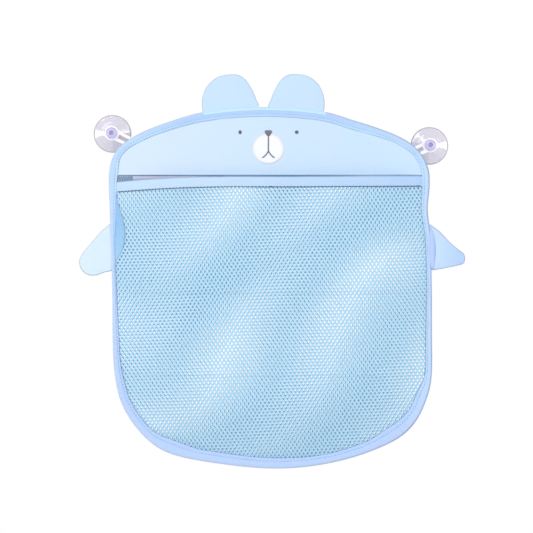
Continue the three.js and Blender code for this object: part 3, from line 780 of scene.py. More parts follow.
def lens_faces(rings, count):
    """Faces of a closed form whose two sides are each of rings round a middle point."""
    size = rings * count + 1
    last = size - 1 - count
    faces = grid_faces(rings, count, around=True)
    faces += [[last + j, last + (j + 1) % count, size - 1] for j in range(count)]
    faces += [[corner + size for corner in face[::-1]] for face in faces]
    faces += [[(j + 1) % count, j, j + size, (j + 1) % count + size] for j in range(count)]
    return faces


def joined(meshes):
    """Several meshes as one."""
    points, faces = [], []
    for more_points, more_faces in meshes:
        faces += [[corner + len(points) for corner in face] for face in more_faces]
        points += list(more_points)
    return points, faces


def swept(sections, closed):
    """Sections of the same number of points, joined in a row or in a ring."""
    sections = np.asarray(sections)
    count, size = sections.shape[:2]
    if closed:
        sections = np.vstack([sections, sections[:1]])
    faces = grid_faces(len(sections), size, around=True)
    if closed:
        faces = [[corner % (count * size) for corner in face] for face in faces]
        return sections[:-1].reshape(-1, 3), faces
    faces.append(list(range(size))[::-1])
    faces.append([(count - 1) * size + j for j in range(size)])
    return sections.reshape(-1, 3), faces


def directions(line):
    """The way a line of points runs at each of them."""
    along = np.gradient(np.asarray(line), axis=0)
    return along / np.linalg.norm(along, axis=1)[:, None]


def ribbon(line, widths, depths, thickness):
    """A flat strip along a line, with its front at the given depths."""
    line, widths = np.asarray(line), np.asarray(widths) + np.zeros(len(line))
    along = directions(line)
    across = np.stack([-along[:, 1], along[:, 0]], axis=1) * widths[:, None] / 2
    depths = np.asarray(depths) + np.zeros(len(line))
    sections = []
    for place, side, depth in zip(line, across, depths):
        edges = [place + side, place - side]
        front = [(e[0], -depth, e[1]) for e in edges]
        back = [(e[0], thickness - depth, e[1]) for e in edges]
        sections.append([front[0], front[1], back[1], back[0]])
    return swept(sections, closed=False)


def threads(name, ends, radius, look, body=None):
    """Short raised threads, each between two places."""
    turns = np.linspace(0, 2 * math.pi, THREAD_SIDES, endpoint=False)
    meshes = []
    for start, end in ends:
        start, end = np.array(start), np.array(end)
        run = (end - start) / np.linalg.norm(end - start)
        side = np.cross(run, (0, -1, 0))
        side /= np.linalg.norm(side)
        out = np.cross(side, run)
        around = np.cos(turns)[:, None] * side + np.sin(turns)[:, None] * out
        sections = [lerp(start, end, s) + around * swell * radius for s, swell in STITCH_SHARES]
        meshes.append(swept(sections, closed=False))
    return piece(name, *joined(meshes), look, body)


def stitching(name, line, depths, look, body=None, radius=THREAD, length=STITCH, gap=STITCH_GAP):
    """A row of stitches along a line, with gaps between them."""
    line = np.asarray(line)
    along = np.concatenate([[0], np.cumsum(np.linalg.norm(np.diff(line, axis=0), axis=1))])
    starts = np.arange(0, along[-1] - length, length + gap)
    ends = []
    for start in starts:
        places = np.array([start, start + length])
        x, z, depth = [np.interp(places, along, v) for v in (line[:, 0], line[:, 1], depths)]
        ends.append(at_depth(x, z, depth))
    return threads(name, ends, radius, look, body)


def blend_pocket(made):
    """Bakes the placing of a part of the pocket into its mesh."""
    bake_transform(made)


SIDES = (("left", -1), ("right", 1))


# The edge binding
binding_middle = (BINDING_BACK + BINDING_FRONT) / 2
binding_half = (BINDING_FRONT - BINDING_BACK) / 2


def band_reach(share, width):
    """How far in from the rim a part of the tape lies. The turn at the rim is round everywhere."""
    if share < EDGE_BAND_SHARE:
        return share * BINDING_WIDTH
    inward = (share - EDGE_BAND_SHARE) / (1 - EDGE_BAND_SHARE)
    return lerp(EDGE_BAND_SHARE * BINDING_WIDTH, width, inward)


def binding_sections():
    along = np.linspace(0, 2 * math.pi, len(rim), endpoint=False)
    fine, slow = PUCKER_WAVES
    swells = 1 + PUCKER * np.sin(along * fine) * np.sin(along * slow + PUCKER_START)
    widths = binding_width(*rim.T)
    sections = []
    for place, normal, width, swell in zip(rim, inward_normals(rim), widths, swells):
        outer, inner = [], []
        for share, thick in BINDING_PROFILE_SHARES:
            reach = band_reach(share, width)
            outer.append((reach, binding_middle + thick * binding_half * swell))
            if share > 0:
                wall = max(abs(thick) * binding_half - TAPE, MIN_WALL)
                inner.append((max(reach, TAPE), binding_middle + math.copysign(wall, thick)))
        ring = []
        for reach, depth in outer + inner[::-1]:
            x, z = place + normal * reach
            ring.append((x, -depth, z))
        sections.append(ring)
    return sections


sections = binding_sections()
binding_mesh = swept(sections, closed=True)
binding = piece("rim_binding", *binding_mesh, "binding_tape", "bag", ["edge_binding"], "tape")
# Looks of the binding's faces: painted highlights on the inner band and on the ridge under the
# ears, and painted shade on the outer edge
bands = []
for ring in sections:
    x, _, z = ring[0]
    under_ears = LEFT_EAR_FOOT < x < RIGHT_EAR_FOOT and z > 0
    for j in range(len(ring)):
        outside = 3 if under_ears and j in RIDGE else 2 if j in OUTER_EDGE else 0
        bands.append(1 if j in INNER_BAND else outside)
paint(binding, ("inner_tape", "tape_edge", "ridge_tape"), bands)


def binding_line(share, inward=0):
    """A closed line round the bag, at a share of the width of the binding from the rim."""
    loop = outline(SEAM_STEPS)
    reach = share * binding_width(*loop.T) + inward
    return closed_line(loop + inward_normals(loop) * reach[:, None])


def part_of(line, start, end):
    """The stretch of a closed line round the bag between two shares of a turn, clockwise."""
    line = line[:-1]
    after = (turn_share(*line.T) - start) % 1
    line = np.roll(line, -np.argmin(after), axis=0)
    return line[np.sort(after) <= end - start]


seam_line = binding_line(SEAM_SHARE)
seam_front = binding_middle + SEAM_RISE_SHARE * binding_half
front_depths = np.full(len(seam_line), seam_front)
back_depths = np.full(len(seam_line), BINDING_BACK)
stitching("binding_seam", seam_line, front_depths, "blue_thread", "bag")
stitching("binding_seam_back", seam_line, back_depths, "blue_thread", "bag")

# Painted shade of a crease in the binding at the lower right: a thin dark ribbon laid along it
pinch_line = part_of(binding_line(0, PINCH_DEPTH), *PINCH_TURNS)
pinch_shade_widths = PINCH_SHADE_WIDTH * np.sin(np.linspace(PINCH_END, math.pi - PINCH_END, len(pinch_line)))
pinch_shade_mesh = ribbon(pinch_line, pinch_shade_widths, seam_front + PINCH_SHADE_RISE, FOLD_SHEET)
piece("binding_crease_shade", *pinch_shade_mesh, "pinch_cloth", "bag")

# Dark dots along the inner edge of the lower binding: partly the cut ends of the netting, partly
# painted shadow of the binding on the netting
net_end_line = part_of(binding_line(1, NET_END_INSET), *NET_END_TURNS)
net_end_depths = front_net_depth(*net_end_line.T)
net_end_size = {"radius": NET_END, "length": NET_END_LENGTH, "gap": NET_END_GAP}
stitching("net_ends_and_shadow", net_end_line, net_end_depths, "teal_thread", "bag", **net_end_size)


# The head
def column_ends(x, level, margin):
    """The lowest and highest place of the head at a place across it."""
    heights = crossings(0, x)
    return max(heights.min() + margin, level), heights.max() - margin


def head_depth(x, z):
    """Depth of the front of the head cloth, which swells a little away from the binding."""
    inward = np.maximum(distance_to(x, z, closed_rim) - binding_width(x, z), 0)
    swell = smooth(inward / CROWN_FADE)
    above = smooth((z - head_level) / HEAD_EDGE_RISE)
    across, up = RIPPLE_WAVES
    ripple = np.sin(x * across + RIPPLE_BEND * np.sin(z * up)) * np.exp(-inward / RIPPLE_FADE)
    drift = HEAD_DRIFT * waves(x, z, HEAD_WAVES)
    crown = HEAD_CROWN * lerp(HEAD_EDGE_SHARE, 1, above)
    return HEAD_BACK + CLOTH + swell * (crown + drift) + RIPPLE * ripple


def head_sheet(name, level, front_at, thickness, look, node_name, slot):
    left, right = np.sort(crossings(1, level))[[0, -1]]
    share = (1 - np.cos(np.linspace(0, math.pi, HEAD_GRID[1]))) / 2
    x = lerp(left + UNDER_BINDING, right - UNDER_BINDING, share)
    low, high = np.array([column_ends(place, level, UNDER_BINDING) for place in x]).T
    rows = np.linspace(0, 1, HEAD_GRID[0])[:, None]
    x, z = np.tile(x, (len(rows), 1)), lerp(low, high, rows)
    front = front_at(x, z)
    return piece(name, *plate(x, z, front, front - thickness), look, "bag", [node_name], slot)


def lining_depth(x, z):
    return LINING_FRONT + np.zeros(x.shape)


def filling_depth(x, z):
    return head_depth(x, z) - CLOTH - FILLING_GAP


head = head_sheet(
    "head_cloth_front", head_level, head_depth, CLOTH, "head_cloth", "head_front", "cloth"
)
lining = head_sheet(
    "head_cloth_lining", head_level, lining_depth, CLOTH, "lining_cloth", "head_lining", "cloth"
)
filling_level = head_level + NET_LAP
filling = head_sheet(
    "head_filling", filling_level, filling_depth, FILLING, "wadding", "head_padding", "wadding"
)

# The turned lower edge of the head
left_end, right_end = np.sort(crossings(1, head_level))[[0, -1]]
fold_sections = []
for x in np.linspace(left_end + EDGE_TUCK, right_end - EDGE_TUCK, EDGE_STEPS):
    depth = head_depth(np.array([x]), np.array([head_level]))[0]
    ring = []
    for turn in np.linspace(0, 2 * math.pi, FOLD_SIDES, endpoint=False):
        rise = head_level + FOLD_RADIUS + FOLD_RADIUS * math.cos(turn)
        ring.append((x, -(depth + FOLD_THICKNESS * math.sin(turn)), rise))
    fold_sections.append(ring)
head_fold = piece("head_lower_fold", *swept(fold_sections, closed=False), "head_cloth", "bag")

# A dark thread along the inner edge of the binding on the upper left: partly topstitching, partly
# painted shade in the crease between binding and head, darkest at the left
head_seam_line = part_of(binding_line(1, HEAD_SEAM_INSET), *HEAD_TURNS)
head_seam_depths = head_depth(*head_seam_line.T)
stitching("head_seam_and_crease_shade", head_seam_line, head_seam_depths, "head_thread", "bag")


# Printed face
def film(name, loop, middle, look, node_name, lift, rings=SMALL_FILM_RINGS):
    """A thin print that lies on the head cloth."""
    loop, middle = np.asarray(loop), np.asarray(middle)
    shares = np.linspace(1, 0, rings, endpoint=False)
    places = np.vstack([lerp(middle, loop, s) for s in shares] + [middle[None, :]])
    front = at_depth(*places.T, head_depth(*places.T) + lift)
    points = np.vstack([front, front + np.array([0, PRINT, 0])])
    return piece(name, points, lens_faces(rings, len(loop)), look, "bag", [node_name])


def oval(middle, across, up, count):
    turn = np.linspace(0, 2 * math.pi, count, endpoint=False)
    return np.stack([middle[0] + across * np.cos(turn), middle[1] + up * np.sin(turn)], axis=1)


face_level = BAG_RISE - FACE_DROP
face_middle = (FACE_SHIFT, face_level)
muzzle_loop = oval(face_middle, MUZZLE_WIDTH / 2, MUZZLE_HEIGHT / 2, MUZZLE_STEPS)
film("muzzle_film", muzzle_loop, face_middle, "white_print", "muzzle_print", PRINT, FILM_RINGS)

nose_top = face_level + NOSE_RISE
nose_foot = nose_top - NOSE_HEIGHT
nose_half = NOSE_WIDTH / 2
nose_corners = [(FACE_SHIFT, nose_foot)]
for side in (1, -1):
    corner = (FACE_SHIFT + side * nose_half, nose_top - NOSE_CORNER)
    shoulder = (FACE_SHIFT + side * (nose_half - NOSE_CORNER), nose_top)
    nose_corners += [corner, shoulder][::side]
nose_loop = smooth_line(nose_corners, NOSE_STEPS, closed=True)
nose_middle = (FACE_SHIFT, nose_top - NOSE_HEIGHT / 3)
film("nose_film", nose_loop, nose_middle, "grey_print", "nose_print", 2 * PRINT)

for side_name, side in SIDES:
    eye = (FACE_SHIFT + side * EYE_SPACING / 2, face_level + EYE_RISE)
    loop = oval(eye, *EYE_HALF_SIZES[side_name], EYE_STEPS)
    film(f"{side_name}_eye_film", loop, eye, "eye_print", f"{side_name}_eye_print", PRINT)

fork = np.array([FACE_SHIFT, face_level + MOUTH_SPLIT])
nose_tip = np.array([FACE_SHIFT, nose_foot - PRINT])
mouth_lines = [lerp(nose_tip, fork, np.linspace(0, 1, MOUTH_STEPS)[:, None])]
for side_name, side in SIDES:
    lip_size = np.array([side * MOUTH_WIDTH / 2, -MOUTH_FALL])
    mouth_lines.append(smooth_line(fork + np.array(LIP_SHARES) * lip_size, LIP_STEPS))
mouth_mesh = joined(
    ribbon(line, MOUTH_STROKE, head_depth(*line.T) + 2 * PRINT, PRINT) for line in mouth_lines
)
piece("mouth_film", *mouth_mesh, "grey_print", "bag", ["mouth_print"])


# Netting
def net_cells(keep, stretch, turn):
    """Middles of the holes that lie where keep says, in staggered rows."""
    pitch, row = NET_PITCH * stretch[0], NET_ROW * stretch[1]
    rows = np.arange(-math.ceil(BAG_HEIGHT / row), math.ceil(BAG_HEIGHT / row))
    columns = np.arange(-math.ceil(BAG_WIDTH / pitch), math.ceil(BAG_WIDTH / pitch))
    k, i = np.meshgrid(rows, columns, indexing="ij")
    flat = np.stack([(i + (k % 2) / 2) * pitch, -k * row], axis=-1).reshape(-1, 2)
    ways = np.array([[math.cos(turn), math.sin(turn)], [-math.sin(turn), math.cos(turn)]])
    cells = flat @ ways
    corners = np.array([
        (0, row), (-pitch / 4, row / 2), (-pitch / 2, 0), (-pitch / 4, -row / 2),
        (0, -row), (pitch / 4, -row / 2), (pitch / 2, 0), (pitch / 4, row / 2),
    ])
    return cells[keep(cells[:, 0], cells[:, 1])], corners @ ways


def swayed(x, z, reach):
    """Netting never hangs quite straight: its rows drift a little to and fro."""
    return x + reach * waves(x, z, SWAY_WAVES), z + reach * waves(z, x, SWAY_WAVES)


def net_mesh(cells, corners, sway, depth_at):
    """Strands round the holes: a closed mesh, thickest at the crossings."""
    count = len(corners)
    hole_shares = HOLE_SHARE * np.resize(HOLE_ROUNDING_SHARES, count)
    around = cells[:, None, :] + corners[None, :, :]
    holes = cells[:, None, :] + (corners * hole_shares[:, None])[None, :, :]
    rounded = np.round(around.reshape(-1, 2), PLACE_DECIMALS)
    places, first, index = np.unique(rounded, axis=0, return_index=True, return_inverse=True)
    index = index.reshape(-1, count)
    half = STRAND_THICKNESS / 2 * np.resize(KNOT_SHARES, count)[first % count]
    places, holes = swayed(*places.T, sway), swayed(*holes.reshape(-1, 2).T, sway)
    middle = depth_at(*places)
    points = np.vstack([
        at_depth(*places, middle + half),
        at_depth(*places, middle - half),
        at_depth(*holes, depth_at(*holes)),
    ])
    size = len(half)
    inner = 2 * size + np.arange(holes[0].size).reshape(-1, count)
    index_next, inner_next = np.roll(index, -1, axis=1), np.roll(inner, -1, axis=1)
    front = np.stack([index, index_next, inner_next, inner], axis=-1).reshape(-1, 4)
    back = np.stack([inner, inner_next, index_next + size, index + size], axis=-1).reshape(-1, 4)
    pairs = np.stack([index, index_next], axis=-1).reshape(-1, 2)
    found, first, times = np.unique(
        np.sort(pairs, axis=1), axis=0, return_index=True, return_counts=True
    )
    edge = pairs[first[times == 1]]
    rim_faces = np.stack([edge[:, 1], edge[:, 0], edge[:, 0] + size, edge[:, 1] + size], axis=-1)
    return points, np.vstack([front, back, rim_faces])


def half_net(layer, side_name, side, top_at, depth_at, look):
    """The left or right half of a net, cut off under the binding and at its top."""

    def keep(x, z):
        within = inside(x, z, rim) & (distance_to(x, z, closed_rim) > NET_MARGIN)
        return within & (z < top_at(x)) & ((x < 0) if side < 0 else (x >= 0))

    stretch = NET_STRETCHES[layer]
    sway = NET_SWAYS[layer]
    cells, corners = net_cells(lambda x, z: keep(*swayed(x, z, sway)), stretch, NET_TURNS[layer])
    mesh = net_mesh(cells, corners, sway, depth_at)
    made = piece(f"{layer}_net_{side_name}", *mesh, look, nodes=[f"{layer}_mesh"], slot="netting")
    made.data.shade_flat()
    return made


def back_net_depth(x, z):
    return BACK_NET_DEPTH + np.zeros(np.shape(x))


def back_net_top(x):
    return head_level + NET_LAP


def front_net_top(x):
    return mouth_at(x) - NET_UNDER_HEM_SHARE * HEM_HEIGHT


for side_name, side in SIDES:
    back_half = half_net("back", side_name, side, back_net_top, back_net_depth, "back_net_yarn")
    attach(back_half, "bag")
    front_half = half_net("front", side_name, side, front_net_top, front_net_depth, "net_yarn")
    blend_pocket(front_half)

# A fold of netting sewn in beside the left binding
fold_levels = np.linspace(*FOLD_LEVELS, FOLD_GRID[0])
fold_shares = np.linspace(0, 1, FOLD_GRID[1])
fold_fall = np.linspace(0, 1, len(fold_levels)) ** FOLD_SKEW
fold_bulge = np.sin(lerp(PINCH_END, math.pi - PINCH_END, fold_fall))
fold_edge = np.array([crossings(1, level).min() for level in fold_levels])
fold_edge += binding_width(fold_edge, fold_levels) - FOLD_TUCK
fold_x = fold_edge[:, None] + FOLD_WIDTH * fold_bulge[:, None] * fold_shares
fold_z = np.tile(fold_levels[:, None], (1, len(fold_shares)))
fold_depth = front_net_depth(fold_x, fold_z) + FOLD_RISE
fold_mesh = plate(fold_x, fold_z, fold_depth, fold_depth - FOLD_SHEET)
side_fold = piece("side_fold", *fold_mesh, "fold_cloth")
blend_pocket(side_fold)

# The overlocked edge behind the mouth of the pocket, pale at its left end and darker from there to
# the right: partly the overlock's own colour, partly painted shade in the narrow gap between head
# and hem
strip_x = np.linspace(left_end + EDGE_TUCK, right_end - EDGE_TUCK, EDGE_STEPS)
strip_high = np.full(len(strip_x), head_level + STRIP_RISE)
strip_low = mouth_at(strip_x) - STRIP_FALL
strip_grid = np.tile(strip_x, (2, 1)), np.stack([strip_high, strip_low])
strip_mesh = plate(*strip_grid, STRIP_FRONT - STRIP_SHEET, STRIP_FRONT)
mouth_strip = piece("mouth_strip", *strip_mesh, "overlock_cloth", "bag")

zigzag_x = np.arange(left_end + EDGE_TUCK, ZIGZAG_END, OVERLOCK_STEP)
zigzag_z = np.where(np.arange(len(zigzag_x)) % 2, head_level, mouth_at(zigzag_x))
zigzag = at_depth(zigzag_x, zigzag_z, STRIP_FRONT)
threads("mouth_overlock", list(zip(zigzag, zigzag[1:])), THREAD, "slate_thread", "bag")
row_x = np.linspace(left_end + EDGE_TUCK, ROW_END, ROW_STEPS)
row = np.stack([row_x, np.full(len(row_x), head_level - THREAD)], axis=1)
row_size = {"radius": ROW_THREAD, "length": ROW_STITCH, "gap": ROW_GAP}
stitching("mouth_row", row, np.full(len(row), STRIP_FRONT), "slate_thread", "bag", **row_size)

# The hem of the pocket's mouth
for side_name, side in SIDES:
    ends = -side * HEM_LAP, side * (half_width - UNDER_BINDING)
    places = np.linspace(*ends, HEM_STEPS)[::side]
    tops = mouth_at(places)
    inward = distance_to(places, tops, closed_rim)
    depths = front_net_depth(places, tops - HEM_HEIGHT)
    sections = []
    for x, top, away, depth in zip(places, tops, inward, depths):
        half = lerp(HEM_THIN, HEM_THICK, smooth((away - HEM_FADE_START) / HEM_FADE))
        if side * x < 0:
            half *= HEM_TUCK_SHARE
        ring = []
        for up, out in HEM_PROFILE_SHARES:
            ring.append((x, -(depth + out * half), top - up * HEM_HEIGHT))
        sections.append(ring)
    hem_mesh = swept(sections, closed=False)
    hem = piece(f"mouth_hem_{side_name}", *hem_mesh, "hem_tape", nodes=["mouth_hem"], slot="tape")
    kept = inward > binding_width(places, tops)
    line = np.stack([places, tops - HEM_SEAM_SHARE * HEM_HEIGHT], axis=1)[kept]
    edge_mesh = ribbon(line, EDGE_STRIP, depths[kept] + HEM_THICK, HEM_THIN)
    edge = piece(f"mouth_edge_{side_name}", *edge_mesh, "slate_thread")
    dots = stitching(
        f"mouth_seam_{side_name}", line, depths[kept] + HEM_THICK, "navy_thread", radius=DARK_THREAD
    )
    for part in (hem, edge, dots):
        blend_pocket(part)


# Ears and arms
def flap(name, start, finish, shares, reach, middle_shares, crown, look, edge_and_shade_look):
    """Two domed cloths sewn together round a thin filling. The foot is tucked into the binding."""
    start, finish = np.array(start), np.array(finish)
    length = np.linalg.norm(finish - start)
    along = (finish - start) / length
    away = np.array([-along[1], along[0]])
    if away @ (start - bag_centre) < 0:
        away = -away
    near = (rim - start) @ np.stack([along, away], axis=1)
    near = near[near[:, 1] > -reach]
    near = near[np.argsort(near[:, 0])]
    facing = near[(near[:, 0] > 0) & (near[:, 0] < length)]
    offset = max(0, facing[:, 1].max()) + SEAM_GAP

    def placed(foot, height):
        return start + along * foot * length + away * (offset + height * reach)

    def drawn(places):
        """The places near the foot, brought down onto the rim."""
        across, out = ((places - start) @ np.stack([along, away], axis=1)).T
        share = 1 - smooth((out - offset) / (FOOT_FADE_SHARE * reach))
        fall = share * (offset - np.interp(across, *near.T) + FOOT_TUCK)
        return start + across[:, None] * along + (out - fall)[:, None] * away

    loop = smooth_line([placed(*s) for s in shares], FLAP_STEPS, closed=True)
    middle = placed(*middle_shares)
    free = drawn(loop[(loop - start) @ away > offset + FLAP_EDGE_INSET])
    spokes = loop[:2] - middle
    if spokes[0][0] * spokes[1][1] < spokes[0][1] * spokes[1][0]:
        loop = loop[::-1]
    count = len(loop)

    def shell(ring_shares, front_at, back_at, rise=0):
        rings = np.vstack([lerp(middle, loop, s) for s in ring_shares] + [middle[None, :]])
        low = np.maximum(offset + rise - (rings - start) @ away, 0)
        places = drawn(rings + low[:, None] * away)
        sides = []
        for height_at in (front_at, back_at):
            heights = np.repeat([height_at(s) for s in ring_shares], count)
            heights = np.append(heights, height_at(0))
            sides.append(at_depth(*places.T, BAG_MIDDLE + heights))
        return np.vstack(sides), lens_faces(len(ring_shares), count)

    def dome(share):
        seam = 1 - SEAM_DENT * math.exp(-(((share - SEAM_DENT_PLACE) / SEAM_DENT_WIDTH) ** 2))
        return FLAP_INNER + crown * (1 - share**2) ** 0.5 * seam

    front_shell = shell(RING_SHARES, lambda s: dome(s) + CLOTH, dome)
    back_shell = shell(RING_SHARES, lambda s: -dome(s), lambda s: -dome(s) - CLOTH)
    front = piece(f"{name}_cloth_front", *front_shell, look, None, [f"{name}_front"], "cloth")
    back = piece(f"{name}_cloth_back", *back_shell, look, None, [f"{name}_back"], "cloth")
    # A rolled edge along the free outline, its darker look partly painted shade
    rings = []
    for place, run in zip(free, directions(free)):
        place = place - FLAP_EDGE_INSET * (place - middle) / np.linalg.norm(place - middle)
        across = np.array([-run[1], run[0]])
        ring = []
        for turn in np.linspace(0, 2 * math.pi, FLAP_EDGE_SIDES, endpoint=False):
            x, z = place + across * FLAP_EDGE * math.cos(turn)
            ring.append((x, -BAG_MIDDLE - FLAP_EDGE * math.sin(turn), z))
        rings.append(ring)
    edge = piece(f"{name}_edge", *swept(rings, closed=False), edge_and_shade_look)
    for part in (front, back, edge):
        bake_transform(part)
    filled_shares = [s for s in RING_SHARES if s < FILL_EDGE_SHARE]
    filled = shell(
        filled_shares, lambda s: dome(s) * FILL_SHARE, lambda s: -dome(s) * FILL_SHARE, FILL_RISE
    )
    inner = piece(f"{name}_filling", *filled, "wadding", name, [f"{name}_padding"], "wadding")


for name, outer, width in (
    ("left_ear", LEFT_EAR_FOOT, LEFT_EAR_WIDTH),
    ("right_ear", RIGHT_EAR_FOOT, RIGHT_EAR_WIDTH),
):
    inner = outer - math.copysign(width, outer)
    ends = [(x, crossings(0, x).max()) for x in (outer, inner)]
    flap(name, *ends, EAR_SHARES, EAR_HEIGHT, EAR_MIDDLE_SHARES, EAR_CROWN, "ear_cloth", "ear_edge")

for name, side, shares, reach, look, edge_and_shade_look in (
    ("left_arm", -1, LEFT_ARM_SHARES, LEFT_ARM_REACH, "left_arm_cloth", "left_arm_edge"),
    ("right_arm", 1, RIGHT_ARM_SHARES, RIGHT_ARM_REACH, "right_arm_cloth", "right_arm_edge"),
):
    top = BAG_RISE - ARM_DROP
    levels = (top, top - ARM_LENGTH)
    ends = [(side * (side * crossings(1, level)).max(), level) for level in levels]
    turned = [(foot, height) for height, foot in shares]
    flap(name, *ends, turned, reach, ARM_MIDDLE_SHARES[::-1], ARM_CROWN, look, edge_and_shade_look)

# The tape at the root of the right arm
tab_levels = np.linspace(*TAB_LEVELS, TAB_GRID[0])
tab_shares = np.linspace(0, 1, TAB_GRID[1])
tab_bulge = np.sqrt(np.sin(np.linspace(PINCH_END, math.pi - PINCH_END, len(tab_levels))))[:, None]
tab_edge = np.array([crossings(1, level).max() for level in tab_levels])[:, None]
tab_x = tab_edge + tab_bulge * lerp(-TAB_TUCK, TAB_REACH, tab_shares)
tab_z = np.tile(tab_levels[:, None], (1, len(tab_shares)))
tab_depth = TAB_FRONT - TAB_ROUND * tab_shares**2
tab_mesh = plate(tab_x, tab_z, tab_depth, tab_depth - TAPE)
tab = piece("right_arm_tape", *tab_mesh, "tab_tape")
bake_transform(tab)


# Suction cups, hooks and hang loops
def cup_profile():
    """Half of the cup in section, from the middle of its hollow round to the middle of its knob:
    each stretch of places, by radius and depth, with the number of its look."""
    hollow_radius = CUP_RADIUS - CUP_RIM
    hollow = [(ALMOST_AXIS, CUP_HOLLOW)]
    hollow += [(r * hollow_radius, h * CUP_HOLLOW) for r, h in HOLLOW_SHARES]
    hollow += [(hollow_radius, ALMOST_AXIS)]
    lip = [(CUP_RADIUS - CUP_BEND, 0), (CUP_RADIUS, CUP_BEND), (CUP_RADIUS, CUP_LIP - CUP_BEND)]
    lip += [(CUP_RADIUS - CUP_BEND, CUP_LIP), (CUP_RADIUS - CUP_BEAD, CUP_LIP + CUP_BEND)]
    dome = [(r * CUP_RADIUS, lerp(CUP_LIP, CUP_DOME, h)) for r, h in DOME_SHARES]
    dome += [(NECK_RADIUS + CUP_BEAD, CUP_DOME - CUP_BEND)]
    knob_back = CUP_DOME + NECK_LENGTH
    neck = [(NECK_RADIUS, CUP_DOME), (NECK_RADIUS, knob_back - CUP_BEND)]
    knob_top = knob_back + KNOB_HEIGHT
    knob = [(r * KNOB_RADIUS, knob_back + h * KNOB_HEIGHT) for r, h in KNOB_SHARES]
    knob = [(NECK_RADIUS, knob_back)] + knob + [(DIMPLE_RADIUS + CUP_BEND, knob_top)]
    dimple = [(DIMPLE_RADIUS, knob_top - CUP_BEND), (DIMPLE_RADIUS, knob_top - DIMPLE_DEPTH)]
    dimple += [(ALMOST_AXIS, knob_top - DIMPLE_DEPTH)]
    return [
        (smooth_line(hollow, HOLLOW_STEPS), 0), (lip, 1), (smooth_line(dome, DOME_STEPS), 0),
        (neck, 0), (smooth_line(knob, KNOB_STEPS), 2), (dimple, 3),
    ]


def add_cup(name, x, z):
    turn = np.linspace(0, 2 * math.pi, CUP_STEPS, endpoint=False)
    sections, looks = [], []
    for places, look in cup_profile():
        looks += [look] * len(places)
        for radius, depth in places:
            sections.append(at_depth(x + radius * np.cos(turn), z + radius * np.sin(turn), depth))
    cup_mesh = swept(sections, closed=False)
    made = piece(f"{name}_moulded", *cup_mesh, "cup_plastic", "wall_cups", [name], "cup_plastic")
    choice = np.append(np.repeat(looks[1:], CUP_STEPS), [looks[0], looks[-1]])
    paint(made, ("bead_plastic", "knob_plastic", "dimple_plastic"), choice.tolist())


def hanger_place(cup, side_name, along, across, depth):
    """A place given along and across a hook, as a point of the frame."""
    turn = HOOK_ANGLES[side_name]
    x = cup[0] + along * math.cos(turn) - across * math.sin(turn)
    return (x, -depth, cup[1] + along * math.sin(turn) + across * math.cos(turn))


def in_groove(face, cup, side_name):
    """Whether a face is part of the floor of a hook's groove."""
    turn = HOOK_ANGLES[side_name]
    middle = face.calc_center_median()
    x, z = middle.x - cup[0], middle.z - cup[1]
    along = x * math.cos(turn) + z * math.sin(turn)
    across = z * math.cos(turn) - x * math.sin(turn)
    sunk = abs(middle.y + HOOK_FRONT - GROOVE_DEPTH) < HOOK_JOIN
    return sunk and abs(across) < GROOVE_WIDTH / 2 and RING_RADIUS < along < HOOK_REACH


def add_hook(name, cup, side_name):
    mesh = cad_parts[name].data.copy()
    mesh.materials.clear()
    for look in ("hook_plastic", "hook_shade"):
        mesh.materials.append(materials[look])
    work = bmesh.new()
    work.from_mesh(mesh)
    bmesh.ops.remove_doubles(work, verts=work.verts, dist=HOOK_JOIN)
    bmesh.ops.dissolve_limit(work, angle_limit=HOOK_FLAT, verts=work.verts, edges=work.edges)
    for face in work.faces:
        face.material_index = 1 if in_groove(face, cup, side_name) else 0
    sharp = [e for e in work.edges if e.is_manifold and e.calc_face_angle() > HOOK_SHARP]
    rounding = {"segments": HOOK_EDGE_STEPS, "profile": HOOK_EDGE_PROFILE}
    bmesh.ops.bevel(work, geom=sharp, offset=HOOK_EDGE, affect="EDGES", **rounding)
    bmesh.ops.recalc_face_normals(work, faces=work.faces)
    work.to_mesh(mesh)
    work.free()
    mesh.shade_smooth()
    made = shown(f"{name}_moulded", mesh)
    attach(made, name)
    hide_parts(name)


def loop_tape_piece(name, cup, side_name, side, line):
    """A strip of tape along a bent line, across the hook."""
    line = smooth_line(line, LOOP_STEPS)
    along = directions(line)
    normal = np.stack([-along[:, 1], along[:, 0]], axis=1) * TAPE / 2
    ring_shares = TAPE_PROFILE_SHARES + [(s, -t) for s, t in TAPE_PROFILE_SHARES[::-1]]
    sections = []
    for (rise, depth), (lift, swell) in zip(line, normal):
        ring = []
        for share, thick in ring_shares:
            reach = LOOP_START + share * LOOP_WIDTH
            across = -side * (rise + lift * thick)
            ring.append(hanger_place(cup, side_name, reach, across, depth + swell * thick))
        sections.append(ring)
    node_name = f"{side_name}_hang_loop"
    return piece(name, *swept(sections, closed=False), "loop_tape", nodes=[node_name], slot="tape")


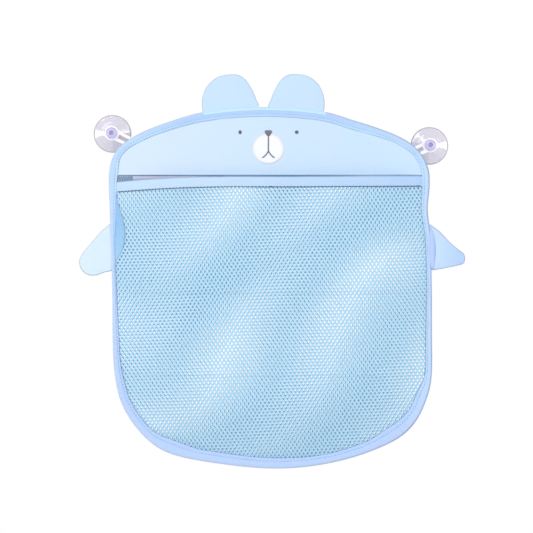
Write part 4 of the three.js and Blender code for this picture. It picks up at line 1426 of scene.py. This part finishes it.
for side_name, side in SIDES:
    cup = side * (half_width - CUP_INSET), -side * CUP_RISE
    add_cup(f"{side_name}_cup", *cup)
    add_hook(f"{side_name}_hook", cup, side_name)
    split = LOOP_TOP - LOOP_FLAT * LOOP_SPLIT_SHARE
    loop_middle = (LOOP_FRONT + LOOP_BACK) / 2
    wide, narrow = [LOOP_TURN * share for share in LOOP_TURN_SHARES]
    upper = [
        (LOOP_TOP + LOOP_TURN + LOOP_PAD, LOOP_FRONT), (LOOP_TOP + wide, LOOP_FRONT),
        (LOOP_TOP + narrow, LOOP_FRONT - LOOP_TURN), (LOOP_TOP, loop_middle),
        (LOOP_TOP - narrow, LOOP_BACK + LOOP_TURN), (LOOP_TOP - wide, LOOP_BACK),
        (split, LOOP_BACK),
    ]
    lower = [
        (split, LOOP_BACK), (LOOP_TOP - LOOP_FLAT, LOOP_BACK + LOOP_SLACK),
        (LOOP_TOP - LOOP_LENGTH * LOOP_LOW_SHARE, loop_middle),
        (LOOP_TOP - LOOP_LENGTH, LOOP_FRONT - LOOP_SLACK),
        (LOOP_TOP - LOOP_LENGTH - LOOP_PAD, LOOP_FRONT),
    ]
    bends = {
        "upper": (upper, (LOOP_TOP + TAPE, LOOP_FRONT), (LOOP_SEWN_RISE, LOOP_FRONT)),
        "lower": (lower, (split, LOOP_BACK), (-LOOP_LENGTH, LOOP_FRONT)),
    }
    for part, (line, still, sewn) in bends.items():
        made = loop_tape_piece(f"{side_name}_loop_{part}", cup, side_name, side, line)
        reach = LOOP_START + LOOP_WIDTH / 2
        ends = [hanger_place(cup, side_name, reach, -side * rise, d) for rise, d in (still, sewn)]
        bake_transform(made)

# Camera, light and floor
camera_data = bpy.data.cameras.new("camera")
camera_data.sensor_width = SENSOR
camera_data.lens = LENS
camera = shown("camera", camera_data)
camera.location = CAMERA_PLACE
camera.rotation_euler = (math.pi / 2, 0, 0)
bpy.context.scene.camera = camera

for name, place, size, power in LIGHTS:
    light = bpy.data.lights.new(name, "AREA")
    light.size = size
    light.energy = power
    lamp = shown(name, light)
    lamp.location = place
    aim = Vector(LIT_PLACE) - Vector(place)
    lamp.rotation_euler = aim.to_track_quat("-Z", "Y").to_euler()

world = bpy.data.worlds.new("studio")
world.use_nodes = True
bpy.context.scene.world = world
tree = world.node_tree
white = colour(255, 255, 255)
lit = tree.nodes["Background"]
feed(tree, lit.inputs, {"Color": white, "Strength": ROOM_LIGHT})
seen = node(tree, "ShaderNodeBackground", {"Color": white, "Strength": 1})
rays = node(tree, "ShaderNodeLightPath")
direct = rays.outputs["Is Camera Ray"]
for kind in ("Is Glossy Ray", "Is Transmission Ray"):
    values = {0: direct, 1: rays.outputs[kind]}
    direct = node(tree, "ShaderNodeMath", values, operation="MAXIMUM").outputs[0]
choice = node(tree, "ShaderNodeMixShader", {"Fac": direct, 1: lit.outputs[0], 2: seen.outputs[0]})
tree.links.new(choice.outputs[0], tree.nodes["World Output"].inputs["Surface"])

floor_points = [
    (-FLOOR_REACH, -FLOOR_REACH, FLOOR_LEVEL), (FLOOR_REACH, -FLOOR_REACH, FLOOR_LEVEL),
    (FLOOR_REACH, FLOOR_REACH, FLOOR_LEVEL), (-FLOOR_REACH, FLOOR_REACH, FLOOR_LEVEL),
]
floor_mesh = bpy.data.meshes.new("floor")
floor_mesh.from_pydata(floor_points, [], [(0, 1, 2, 3)])
material("floor", colour(245, 245, 247), FLOOR_ROUGHNESS)
floor_mesh.materials.append(materials["floor"])
floor = shown("floor", floor_mesh)

bpy.context.scene.view_settings.view_transform = "Standard"
